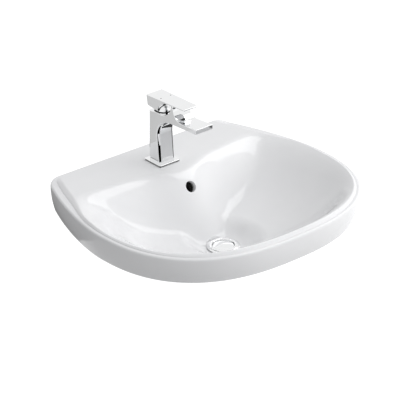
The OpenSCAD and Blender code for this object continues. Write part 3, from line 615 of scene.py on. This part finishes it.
# %% A cutter that flares
def trumpet(name, centre, axis, steps):
    """steps lists distances along the axis and radii in mm, from the narrow end to the wide one."""
    first, radius = steps[0]
    bpy.ops.mesh.primitive_circle_add(vertices=72, radius=radius / 1000, fill_type="NGON",
                                      location=centre + axis * first / 1000,
                                      rotation=axis.to_track_quat("Z", "Y").to_euler())
    horn = settle(name)
    bpy.ops.object.mode_set(mode="EDIT")
    bpy.ops.mesh.select_all(action="SELECT")
    for place, size in steps[1:]:
        step = axis * (place - first) / 1000
        bpy.ops.mesh.extrude_region_move(TRANSFORM_OT_translate={"value": step})
        grow = size / radius
        bpy.ops.transform.resize(value=(grow, grow, grow), center_override=centre + axis * place / 1000)
        first, radius = place, size
    bpy.ops.object.mode_set(mode="OBJECT")
    tidy_normals(horn)
    return horn


overflow_drop, overflow_r = 23, 11
overflow_out = deck_d + tap_land + overflow_drop / math.tan(back_slope)
mouth = spot(0, overflow_out, -overflow_drop)
mouth_axis = Vector((0, -math.sin(back_slope), math.cos(back_slope)))
print("overflow mouth", [round(v, 4) for v in mouth])

# %% Drill the ceramic
tap_hole_r, waste_hole_r, fixing_r, fixing_x, fixing_z = 17.5, 23, 8, 140, -70
past, under_deck, under_boss, over_dish, in_front = 2, -20, -155, -110, 20
drill(basin, tap_hole_r, at_tap(0, 0, under_deck), at_tap(0, 0, past), sides=96)
drill(basin, waste_hole_r, at_waste(0, 0, under_boss), at_waste(0, 0, over_dish), sides=96)
for x in (-fixing_x, fixing_x):
    drill(basin, fixing_r, spot(x, in_front, fixing_z), spot(x, -past, fixing_z), sides=48)
duct_r = 7
duct_in, duct_exit = wall_t + duct_r, (bowl_depth + boss_z) / 2
roll_start, roll_depth, roll_width, flare_end, flare_width = -3, 3.6, 3, 10, 5.5
flare = [(-duct_in, overflow_r), (roll_start, overflow_r)]
flare += [(roll_start + roll_depth * math.sin(a), overflow_r + roll_width * (1 - math.cos(a)))
          for a in np.linspace(0.2, 1.45, 6)]
flare += [(flare_end, overflow_r + flare_width)]
carve(basin, trumpet("overflow_core", mouth, mouth_axis, flare))
duct_run = (duct_exit - overflow_drop - duct_in * math.cos(back_slope)) / math.sin(back_slope)
down_back = Vector((0, -math.cos(back_slope), -math.sin(back_slope)))
duct_top = mouth - mouth_axis * duct_in / 1000
duct_end = duct_top + down_back * duct_run / 1000
drill(basin, duct_r, duct_top - down_back * duct_r / 1000, duct_end, sides=48)
elbow = spot(0, in_mm(duct_end)[1] - duct_r / 2, -duct_exit)
drill(basin, duct_r, at_waste(0, 0, -duct_exit), elbow, sides=48)
only(basin)
bpy.ops.object.shade_smooth_by_angle(angle=math.radians(38))
report(basin)

# %% [markdown]
# ## Side outlines
#
# The tap's body and its lever are slabs with a drawn side outline. A filled circle with as many corners
# as the outline is the start: its corners are moved onto the outline, and the face is extruded to the
# slab's width. A curve could be extruded too, but it would still have to be made a mesh before it is
# cut. The outlines are in millimetres, forward of the tap hole's centre and up from the rim's top.


# %% Slabs from an outline
def arc(y, z, r, a0, a1, n):
    return [(y + r * math.cos(math.radians(a0 + (a1 - a0) * i / n)),
             z + r * math.sin(math.radians(a0 + (a1 - a0) * i / n))) for i in range(n + 1)]


def slab(name, side_outline, width):
    bpy.ops.mesh.primitive_circle_add(vertices=len(side_outline), radius=1, fill_type="NGON")
    piece = settle(name)
    for vertex, (forward, z) in zip(piece.data.vertices, side_outline):
        vertex.co = at_tap(-width / 2, forward, z)
    bpy.ops.object.mode_set(mode="EDIT")
    bpy.ops.mesh.select_all(action="SELECT")
    bpy.ops.mesh.extrude_region_move(TRANSFORM_OT_translate={"value": (width / 1000, 0, 0)})
    bpy.ops.object.mode_set(mode="OBJECT")
    tidy_normals(piece)
    return piece


def forward_of(vertex):
    return in_mm(vertex.co)[1] - tap_out


def bevel_weights(piece, weigh):
    """Gives each edge the bevel weight that weigh returns for its two ends in tap millimetres."""
    layer = piece.data.attributes.new("bevel_weight_edge", "FLOAT", "EDGE")
    ends = [in_mm(vertex.co) - (0, tap_out, 0) for vertex in piece.data.vertices]
    for edge in piece.data.edges:
        a, b = edge.vertices
        layer.data[edge.index].value = weigh(ends[a], ends[b])


print("slab tools ready")

# %% [markdown]
# ## Tap body
#
# The body is cast brass, milled flat and chromed. Its column leans back, arches over and runs out to a
# thin spout that widens a little to its tip. A column and a spout could be joined by a boolean, but one
# outline gives flat sides and a smooth arch at once. The upright edges of the column are rounded far
# more than the rest, and in front the rounding thins out along the arch, so each edge has its own bevel
# weight.

# %% Outline of the tap body
plate_top, column_rear, column_front, column_top = 4, 18, 18.5, 13.5
spout_rise, arch_r, arch_z, spout_reach, spout_t = 4, 36.5, 65, 127.5, 9.5
horn_y, horn_z, sweep_r, dip_y, dip_r = 59, 136, 22, 20, 33.5
arch_y = column_top + arch_r
cart_y, head_mid, head_rear = 6, 111.5, 108


def under_z(forward):
    """Height of the spout's underside."""
    up = math.radians(spout_rise)
    return arch_z + arch_r * math.cos(up) + (forward - arch_y + arch_r * math.sin(up)) * math.tan(up)


head_z = head_mid - 0.5
dip_z = head_z + dip_r
dip_start = -math.degrees(math.asin((dip_z - horn_z) / dip_r))
tap_side = [(-column_rear, plate_top), (column_front, plate_top)]
tap_side += arc(arch_y, arch_z, arch_r, 180, 90 + spout_rise, 28)
tap_side += [(spout_reach, under_z(spout_reach)), (spout_reach, under_z(spout_reach) + spout_t)]
sweep_y = horn_y + sweep_r
tap_side += arc(sweep_y, under_z(sweep_y) + spout_t + sweep_r, sweep_r, 270, 180, 16)
tap_side += [(horn_y, horn_z)]
tap_side += arc(dip_y, dip_z, dip_r, dip_start, -90, 16)
tap_side += [(cart_y, head_mid), (-column_rear, head_rear)]
print("tap outline:", len(tap_side), "corners")

# %% Tap body
tap_half, widen_y, spread = 19.5, 28.5, 0.015
tap = slab("tap_casting", tap_side, 2 * tap_half)
only(tap)
bpy.ops.object.mode_set(mode="EDIT")
bpy.ops.mesh.select_all(action="SELECT")
bpy.ops.mesh.bisect(plane_co=at_tap(0, widen_y, 0), plane_no=(0, 1, 0))
bpy.ops.object.mode_set(mode="OBJECT")
for vertex in tap.data.vertices:
    vertex.co.x *= 1 + spread * max(0, forward_of(vertex) - widen_y) / tap_half
full_round, rear_share, spout_share, tip_share, broken = 7.5, 0.8, 0.25, 0.14, 0.1
bend_thins, spout_thins, near_rear = (5, 80), (45, 110), -column_rear + 0.1


def tap_edges(a, b):
    """The share of full_round that the edge between a and b gets."""
    middle = (a + b) / 2
    if max(abs(a[1] - widen_y), abs(b[1] - widen_y)) < 0.01 or max(a[2], b[2]) < plate_top + 0.01:
        return 0
    if a[0] * b[0] < 0:
        at_tip = min(a[1], b[1]) > spout_reach - 0.1
        at_head = a[1] < near_rear and middle[2] > 100
        return broken if at_tip or at_head or middle[2] > horn_z - 0.01 else 0
    if middle[1] < near_rear:
        return rear_share
    if middle[2] < arch_z and middle[1] > column_top - 0.5:
        return 1
    under_arch = math.hypot(middle[1] - arch_y, middle[2] - arch_z)
    if abs(under_arch - arch_r) < 0.5 and middle[1] < arch_y + 1:
        bend = math.degrees(math.atan2(middle[2] - arch_z, arch_y - middle[1]))
        return mix(1, spout_share, float(ramp(bend, *bend_thins)))
    if middle[1] > spout_thins[0] and middle[2] < under_z(middle[1]) + 0.6:
        return mix(spout_share, tip_share, float(ramp(middle[1], *spout_thins)))
    return broken


bevel_weights(tap, tap_edges)
apply_step(tap, "BEVEL", width=full_round / 1000, segments=8, limit_method="WEIGHT",
           use_clamp_overlap=False)
report(tap)

# %% [markdown]
# ### Inside the tap body
#
# The shank drops into the hole in the deck. The bores for the cartridge, the hoses, the stud and the
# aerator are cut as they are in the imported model, and so is the round pocket that the cap turns in.
# Cutting them after the bevels keeps the outside clean, because no bevel has to run round a hole.


# %% Bores of the tap body
def ball(name, radius, rings=48):
    """A ball round the point about which the lever tips."""
    bpy.ops.mesh.primitive_uv_sphere_add(segments=96, ring_count=rings, radius=radius / 1000,
                                         location=at_tap(0, cart_y, pivot_z))
    return settle(name)


pivot_z, cap_r, shank_r, well_r, nut_r = 113, 15.5, 16.5, 12.05, 13.45
shank_z, shank_top, well_z, nut_z, overlap, pocket_gap = -3, 5, 90, 105, 1, 0.3
inlet_r, inlet_depth, feed_r, inlet_x, inlet_y = 5, 12, 3, 7, 4
stud_r, stud_top, stud_y, jet_r, jet_y = 4.05, 15, -10, 9.3, spout_reach - 14
carve(tap, rod("shank", shank_r, at_tap(0, 0, shank_z), at_tap(0, 0, shank_top)), "UNION")
drill(tap, well_r, at_tap(0, cart_y, well_z), at_tap(0, cart_y, nut_z + overlap))
drill(tap, nut_r, at_tap(0, cart_y, nut_z), at_tap(0, cart_y, pivot_z))
carve(tap, ball("cap_pocket", cap_r + pocket_gap))
for x in (-inlet_x, inlet_x):
    inlet_start, inlet_end = (at_tap(x, inlet_y, z) for z in (shank_z - overlap, shank_z + inlet_depth))
    drill(tap, inlet_r, inlet_start, inlet_end, sides=48)
    drill(tap, feed_r, at_tap(x, inlet_y, shank_z), at_tap(x, inlet_y, well_z + overlap), sides=32)
drill(tap, stud_r, at_tap(0, stud_y, shank_z - overlap), at_tap(0, stud_y, stud_top), sides=48)
jet_axis = Vector((0, math.sin(math.radians(spout_rise)), math.cos(math.radians(spout_rise))))
jet_seat, jet_proud, jet_deep = at_tap(0, jet_y, under_z(jet_y)), 0.0016, 0.006
drill(tap, jet_r, jet_seat - jet_axis * jet_proud, jet_seat + jet_axis * jet_deep)
water_w, water_h, water_up, water_z, water_bend = 20, 4, 1.5, 97.2, arch_y - 10
tap_water = [(cart_y, water_z)] + [(y, under_z(y) + water_up) for y in (water_bend, jet_y)]
tap_water += [(y, z + water_h) for y, z in reversed(tap_water)]
carve(tap, slab("waterway_core", tap_water, water_w))
report(tap)


# %% Crisp faces beside round edges
def crisp(piece):
    """Smooth shading, with the normals of wide flat faces kept flat up to their bevels."""
    only(piece)
    bpy.ops.object.shade_smooth_by_angle(angle=math.radians(32))
    apply_step(piece, "WEIGHTED_NORMAL", keep_sharp=True, weight=80)


crisp(tap)
print("normals weighted by face area")

# %% [markdown]
# ## Lever
#
# The lever is a wedge-shaped slab, wider and deeper over the cartridge and thin at its tip, with a
# hollow under it for a finger. It is milled from the solid, so its edges are only broken by about a
# millimetre. A cube could be pushed into this shape, but the hollow and the crease on top are easier
# to draw, so it starts from a side outline, as the body does, and is then narrowed towards its tip.

# %% Lever
lever_w, tip_w, lever_reach, tip_z, tip_t = 39.5, 34.5, 88, 143.5, 3
lever_rear, rear_z, heel_y, heel_z = 23, 139.5, 19.5, 119
crease_y, crease_z, hollow_r, hollow_gap, hollow_from = -2, 140.3, 26, 5, 174
hollow_y, hollow_z = cart_y + hollow_gap + hollow_r, pivot_z - 1
top_slope = math.atan((tip_z - crease_z) / (lever_reach - crease_y))
under_slope = math.atan((tip_z - tip_t - hollow_z - hollow_r) / (lever_reach - hollow_y))
lever_side = [(-lever_rear, rear_z), (-heel_y, heel_z)]
lever_side += arc(hollow_y, hollow_z, hollow_r, hollow_from, 90 + math.degrees(under_slope), 24)
lever_side += [(lever_reach, tip_z - tip_t), (lever_reach, tip_z), (crease_y, crease_z)]
lever = slab("lever_slab", lever_side, lever_w)
for vertex in lever.data.vertices:
    share = (forward_of(vertex) + lever_rear) / (lever_reach + lever_rear)
    vertex.co.x *= mix(lever_w, tip_w, share) / lever_w


def lever_edges(a, b):
    """No bevel inside the hollow and along the crease, a small one at the tip, and 1 elsewhere."""
    middle = (a + b) / 2
    if a[0] * b[0] > 0:
        return 1
    in_hollow = abs(math.hypot(middle[1] - hollow_y, middle[2] - hollow_z) - hollow_r) < 0.3
    on_crease = abs(middle[1] - crease_y) < 0.5 and middle[2] > 130
    if on_crease or in_hollow and middle[1] > 9:
        return 0
    return lever_tip_share if middle[1] > lever_reach - 1 else 1


broken_edge, lever_tip_share = 0.0009, 0.3
bevel_weights(lever, lever_edges)
apply_step(lever, "BEVEL", width=broken_edge, segments=4, limit_method="WEIGHT")
report(lever)

# %% Pockets of the lever
slot_x, slot_y, slot_top = 3.55, 2.55, 135.05
screw_r, screw_z, dot_r, dot_x, dot_y = 2.55, 131.5, 1.35, 12, 13
room_gap, dot_deep, dot_past = 0.6, 0.0005, 0.001
carve(lever, ball("cap_room", cap_r + room_gap))
carve(lever, block("stem_slot", at_tap(-slot_x, cart_y + slot_y, pivot_z),
                   at_tap(slot_x, cart_y - slot_y, slot_top)))
drill(lever, screw_r, at_tap(0, cart_y, screw_z), at_tap(0, -lever_rear, screw_z), sides=48)
upright = Vector((0, math.sin(top_slope), math.cos(top_slope)))
for x in (-dot_x, dot_x):
    dot = at_tap(x, dot_y, crease_z + (dot_y - crease_y) * math.tan(top_slope))
    drill(lever, dot_r, dot - upright * dot_deep, dot + upright * dot_past, sides=48)
crisp(lever)
report(lever)

# %% [markdown]
# ## Base plate and cap
#
# The plate under the tap is a thin square with rounded corners: a cube whose upright edges are beveled
# first and whose upper edges are softened next, since the two need different widths. The cap over the
# cartridge is round, so that the lever can tip over it with an even gap. It is a ball, cut off at its
# foot, then given a wall and slotted for the lever's stem.


# %% Base plate
def pick_edges(piece, test):
    """Selects the edges for which test holds, given how high their two ends are over the rim."""
    only(piece)
    bpy.ops.object.mode_set(mode="EDIT")
    bpy.ops.mesh.select_mode(type="EDGE")
    bpy.ops.mesh.select_all(action="DESELECT")
    bpy.ops.object.mode_set(mode="OBJECT")
    for edge in piece.data.edges:
        a, b = (in_mm(piece.data.vertices[i].co)[2] for i in edge.vertices)
        edge.select = bool(test(a, b))
    bpy.ops.object.mode_set(mode="EDIT")


plate_half, plate_low, hole_fit, corner_round, top_round = 25, 1, 0.05, 0.0025, 0.0006
plate = block("foot_plate", at_tap(-plate_half, plate_half, plate_low),
              at_tap(plate_half, -plate_half, plate_top))
pick_edges(plate, lambda a, b: abs(a - b) > 1)
bpy.ops.mesh.bevel(offset=corner_round, segments=8)
pick_edges(plate, lambda a, b: min(a, b) > plate_top - 0.1)
bpy.ops.mesh.bevel(offset=top_round, segments=3)
bpy.ops.object.mode_set(mode="OBJECT")
drill(plate, shank_r + hole_fit, at_tap(0, 0, 0), at_tap(0, 0, shank_top))
crisp(plate)
report(plate)

# %% Cap
cap_foot_z, cap_wall = 109, 0.0015
slit_half, slit_front, slit_rear, slit_z, slit_top = 3.8, 2.8, 8.4, pivot_z + 4.5, 132
cap = ball("pivot_cap", cap_r, 64)
bpy.ops.object.mode_set(mode="EDIT")
bpy.ops.mesh.select_all(action="SELECT")
bpy.ops.mesh.bisect(plane_co=at_tap(0, 0, cap_foot_z), plane_no=(0, 0, 1), clear_inner=True)
bpy.ops.object.mode_set(mode="OBJECT")
apply_step(cap, "SOLIDIFY", thickness=cap_wall, offset=-1, use_even_offset=True)
carve(cap, block("cap_slot", at_tap(-slit_half, cart_y + slit_front, slit_z),
                 at_tap(slit_half, cart_y - slit_rear, slit_top)))
crisp(cap)
report(cap)

# %% [markdown]
# ## Waste and plug
#
# Both are turned on a lathe, so both are made by spinning a section: stacked cylinders would leave
# steps where the flange and the plug are domed. The section starts as a ring of edges, and its corners
# are moved to the profile before the spin.


# %% Turning on the lathe
def turned(name, profile):
    """profile lists radii and heights in millimetres from the rim, round the closed section."""
    bpy.ops.mesh.primitive_circle_add(vertices=len(profile), radius=1, fill_type="NOTHING")
    piece = settle(name)
    for vertex, (r, z) in zip(piece.data.vertices, profile):
        vertex.co = at_waste(r, 0, z)
    bpy.ops.object.mode_set(mode="EDIT")
    bpy.ops.mesh.select_all(action="SELECT")
    bpy.ops.mesh.spin(steps=128, angle=2 * math.pi, center=at_waste(0, 0, 0), axis=(0, 0, 1))
    bpy.ops.mesh.select_all(action="SELECT")
    bpy.ops.mesh.remove_doubles(threshold=1e-6)
    bpy.ops.mesh.delete_loose()
    bpy.ops.mesh.select_all(action="SELECT")
    bpy.ops.mesh.normals_make_consistent(inside=False)
    bpy.ops.object.mode_set(mode="OBJECT")
    return piece


print("lathe ready")

# %% Waste
flange_z, flange_r, flange_edge, dome_h, tube_r, spigot_r = -114.5, 32.5, 1.2, 2.8, 20.95, 20.7
tube_in, mouth_r, spigot_l, flange_lip, mouth_round = 18.45, 21.5, 10, 0.9, 1
tube_end, cone_low, cone_high = flange_z - 63, flange_z - 5, flange_z + 0.8
flange_top = flange_z + flange_edge + dome_h
waste_side = [(tube_in, tube_end), (spigot_r, tube_end), (spigot_r, tube_end + spigot_l),
              (tube_r, tube_end + spigot_l), (tube_r, flange_z), (flange_r, flange_z),
              (flange_r, flange_z + flange_lip)]
waste_side += [(mix(flange_r, mouth_r + 2 * mouth_round, f),
                flange_z + flange_edge + dome_h * math.sin(math.pi / 2 * f))
               for f in np.linspace(0.06, 1, 12)]
waste_side += [(mouth_r + mouth_round * (1 - math.sin(a)), flange_top - mouth_round * (1 - math.cos(a)))
               for a in np.linspace(0, 1.57, 5)]
waste_side += [(mouth_r, cone_high), (tube_in, cone_low)]
waste = turned("waste_fitting", waste_side)
report(waste)

# %% [markdown]
# Inside the tube a cross of two arms carries the click mechanism. Two slots run through the tube's
# wall at the level of the overflow's duct, so that its water runs in.

# %% Cross and slots of the waste
bridge, bridge_h, arm_reach, arm_half, hub_r, click_r = tube_end + 20, 4, 19.7, 4.5, 9, 6.05
spider = rod("spider", hub_r, at_waste(0, 0, bridge), at_waste(0, 0, bridge + bridge_h))
for x, y in ((arm_reach, arm_half), (arm_half, arm_reach)):
    carve(spider, block("arm", at_waste(-x, y, bridge), at_waste(x, -y, bridge + bridge_h)), "UNION")
carve(waste, spider, "UNION")
drill(waste, click_r, at_waste(0, 0, bridge - overlap), at_waste(0, 0, bridge + bridge_h + overlap))
slot_half, slot_reach = 4, 30
slot_low, slot_high = -duct_exit - slot_half, -duct_exit + slot_half
for x, y in ((slot_reach, 0), (0, slot_reach)):
    for z in (slot_low, slot_high):
        drill(waste, slot_half, at_waste(-x, y, z), at_waste(x, -y, z), sides=32)
    wide, deep = max(x, slot_half), max(y, slot_half)
    carve(waste, block("slot", at_waste(-wide, deep, slot_low), at_waste(wide, -deep, slot_high)))
crisp(waste)
report(waste)

# %% Plug
seal_z, plug_r, plug_edge = cone_low + 1, 20.5, cone_high + 1
wire_r, wire_in, plug_dome, plug_low, stem_r = 1.2, 1.48, 2.5, cone_low - 2.5, 3
seal_r = tube_in + (seal_z - cone_low) * (mouth_r - tube_in) / (cone_high - cone_low) - wire_in
click_rise, click_lip, plug_travel, piston_gap, piston_t, piston_r = 20, 2, 8, 0.5, 3, 4.4
piston_z = bridge + bridge_h + click_rise - click_lip - plug_travel - piston_gap - piston_t
plug_side = [(plug_r * math.sin(a), plug_edge + plug_dome * math.cos(a) ** 2)
             for a in np.linspace(0, math.pi / 2, 20)]
plug_side += [(plug_r, plug_edge - 0.6), (plug_r - 1, plug_edge - 1.4),
              (seal_r - 0.6, seal_z + wire_r), (seal_r - 1.3, seal_z + wire_r),
              (seal_r - 1.3, seal_z - wire_r), (tube_in - 2, seal_z - wire_r), (tube_in - 3, plug_low),
              (stem_r, plug_low - 2), (stem_r, piston_z + piston_t), (piston_r, piston_z + piston_t),
              (piston_r, piston_z), (0, piston_z)]
plug = turned("waste_stopper", plug_side)
crisp(plug)
report(plug)

# %% [markdown]
# ## Riding
#
# Each new piece hides the node that it stands for and moves with the same body as that node did, so
# that one scene is right at every pose.

# %% What replaces what, and what it rides on
riding = [(basin, "basin_body", "basin", "ceramic"), (tap, "tap_body", "basin", "chrome"),
          (plate, "base_plate", "basin", "chrome"), (cap, "dome_cap", "turret", "chrome"),
          (lever, "lever", "lever", "chrome"), (waste, "waste_body", "basin", "chrome"),
          (plug, "waste_plug", "plug", "chrome")]
for piece, node, body, slot in riding:
    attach(piece, body)
    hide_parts(node)
print("replaced:", ", ".join(node for piece, node, body, slot in riding))

# %% [markdown]
# ## Finishes
#
# Every finish reads Object coordinates, so its pattern sits still on the piece at any pose. Each one
# starts from the same small set of nodes: a noise for slow differences, a finer one for the surface's
# own roughness, and a bump that is far shallower than any real shape.


# %% A finish and its slow and fine noise
def noise(tree, place, scale, detail=3.0):
    return add_node(tree, "TexNoise", {"Vector": place, "Scale": scale, "Detail": detail}).outputs["Fac"]


def between(tree, value, low, high):
    """Spreads the middle of a noise over low to high."""
    return add_node(tree, "MapRange", {"Value": value, "From Min": 0.3, "From Max": 0.7,
                                       "To Min": low, "To Max": high}).outputs["Result"]


def blend(tree, share, first, second, kind="RGBA"):
    """Goes from first to second, which are colours, or numbers where kind is FLOAT."""
    low, high, result = (6, 7, 2) if kind == "RGBA" else (2, 3, 0)
    return add_node(tree, "Mix", {0: share, low: first, high: second}, data_type=kind).outputs[result]


def finish_from(name, first, second, slow, rough, fine, bump_depth, metallic=0.0, stretch=(1, 1, 1)):
    """first and second are the colours between which a slow noise wanders; rough is a low and a high."""
    material = bpy.data.materials.new(name)
    material.use_nodes = True
    tree = material.node_tree
    where = add_node(tree, "TexCoord").outputs["Object"]
    grain = add_node(tree, "Mapping", {"Vector": where, "Scale": stretch}).outputs["Vector"]
    wander = between(tree, noise(tree, where, slow), 0, 1)
    texture = noise(tree, grain, fine, 4)
    bump = add_node(tree, "Bump", {"Distance": bump_depth, "Strength": 1, "Height": texture})
    fill(tree, tree.nodes["Principled BSDF"], {
        "Base Color": blend(tree, wander, first, second), "Metallic": metallic, "IOR": 1.5,
        "Roughness": between(tree, texture, *rough), "Normal": bump.outputs["Normal"]})
    return material


def cover(material, share, colour, rough=None):
    """Lets another colour, and another roughness if one is given, take over where share is 1."""
    tree = material.node_tree
    shader = tree.nodes["Principled BSDF"]
    looks = [("Base Color", colour, "RGBA")]
    if rough is not None:
        looks.append(("Roughness", rough, "FLOAT"))
    for name, look, kind in looks:
        old = shader.inputs[name].links[0].from_socket
        fill(tree, shader, {name: blend(tree, share, old, look, kind)})


print("finish builder ready")

# %% [markdown]
# ### Glaze
#
# Sanitary glaze is a clear glass layer over white clay: bright, smooth, and very slightly wavy where it
# flowed. The face against the wall is left unglazed, so it is matt and a little warmer. Behind the
# overflow's mouth the channel is painted near black, as painted shade in the hole. A painted image could
# show where glaze ends and the shade begins, but a mask worked out from the place on the piece needs
# none.

# %% Glaze
glaze = finish_from("white_glaze", (0.815, 0.818, 0.825), (0.845, 0.846, 0.85), 9, (0.045, 0.09), 70,
                    0.00002)
tree = glaze.node_tree
where = add_node(tree, "TexCoord").outputs["Object"]
depth = add_node(tree, "SeparateXYZ", {0: where}).outputs["Y"]
wall_side = add_node(tree, "MapRange", {"Value": depth, "From Min": -0.0022, "From Max": -0.0008})
clay = blend(tree, noise(tree, where, 900, 5), (0.58, 0.56, 0.52), (0.72, 0.70, 0.66))
cover(glaze, wall_side.outputs["Result"], clay, 0.85)
print("glaze nodes:", len(tree.nodes))

# %% Painted shade in the overflow's channel
# Painted shade: a few millimetres behind the overflow's mouth, the glaze turns near black for the shade
# in the hole.
channel_r, shade_begins, shade_full = overflow_r / 1000 + 0.0015, 0.0065, 0.0125
inward = calc(tree, "SUBTRACT", where, mouth, kind="VectorMath", result="Vector")
aside = calc(tree, "CROSS_PRODUCT", inward, mouth_axis, kind="VectorMath", result="Vector")
apart = calc(tree, "LENGTH", aside, kind="VectorMath")
behind = calc(tree, "DOT_PRODUCT", inward, -mouth_axis, kind="VectorMath")
deep = add_node(tree, "MapRange", {"Value": behind, "From Min": shade_begins, "From Max": shade_full})
channel_shade = calc(tree, "MULTIPLY", calc(tree, "LESS_THAN", apart, channel_r), deep.outputs["Result"])
cover(glaze, channel_shade, (0.02, 0.019, 0.018))
print("glaze nodes:", len(tree.nodes))

# %% [markdown]
# ### Metals, rubber and plastics
#
# Chrome takes its look from what it reflects, so its own colour is a pale grey and its roughness is low,
# with faint polishing marks. In the narrow recess round the cap the body and the lever are painted dark
# and dull, as painted shade in the recess. Turned brass and steel get a stretched grain, and rubber and
# plastics get a broad roughness and a fine moulded texture.

# %% The other finishes
finishes = {
    "ceramic": glaze,
    "chrome": finish_from("polished_chrome", (0.84, 0.845, 0.85), (0.86, 0.865, 0.87), 30,
                          (0.02, 0.05), 220, 0.000002, metallic=1, stretch=(1, 1, 0.2)),
    "brass": finish_from("turned_brass", (0.70, 0.50, 0.22), (0.78, 0.58, 0.28), 40,
                         (0.22, 0.38), 500, 0.00003, metallic=1, stretch=(0.1, 0.1, 6)),
    "steel": finish_from("plated_steel", (0.52, 0.52, 0.54), (0.60, 0.60, 0.61), 50,
                         (0.25, 0.42), 600, 0.00002, metallic=1, stretch=(1, 8, 1)),
    "rubber": finish_from("black_rubber", (0.018, 0.018, 0.019), (0.03, 0.03, 0.031), 60,
                          (0.55, 0.75), 900, 0.00004),
    "white_plastic": finish_from("white_plastic", (0.74, 0.74, 0.72), (0.78, 0.78, 0.77), 40,
                                 (0.35, 0.5), 1200, 0.00001),
    "grey_plastic": finish_from("grey_plastic", (0.10, 0.105, 0.11), (0.13, 0.135, 0.14), 40,
                                (0.35, 0.5), 1200, 0.00001),
    "disc_ceramic": finish_from("lapped_ceramic", (0.74, 0.71, 0.63), (0.78, 0.76, 0.70), 60,
                                (0.15, 0.25), 900, 0.000004),
    "dot_enamel": finish_from("grey_enamel", (0.02, 0.02, 0.021), (0.03, 0.03, 0.031), 300,
                              (0.2, 0.3), 900, 0.000004),
}
print("finishes:", len(finishes))

# %% Painted shade in the recess round the cap
recess_r = 0.0186
recess_shade_chrome = finishes["chrome"].copy()
recess_shade_chrome.name = "chrome_with_painted_recess_shade"
tree = recess_shade_chrome.node_tree
where = add_node(tree, "TexCoord").outputs["Object"]
from_pivot = calc(tree, "DISTANCE", where, at_tap(0, cart_y, pivot_z), kind="VectorMath")
# Painted shade: near the pivot, the chrome of the body and the lever turns near black and duller for the
# shade in the recess.
cover(recess_shade_chrome, calc(tree, "LESS_THAN", from_pivot, recess_r), (0.03, 0.03, 0.03), 0.6)
print("recess", round(recess_r * 1000, 1), "mm round the pivot")

# %% Put the finishes on
slot_of = {part["node"]: part["material_slot"] for part in frame["record"]["subparts"]}
for name, node in nodes.items():
    node.data.materials.clear()
    node.data.materials.append(finishes[slot_of[name]])
for piece, node, body, slot in riding:
    piece.data.materials.clear()
    piece.data.materials.append(recess_shade_chrome if piece in (tap, lever) else finishes[slot])
print("finishes on", len(nodes), "nodes and", len(riding), "pieces")
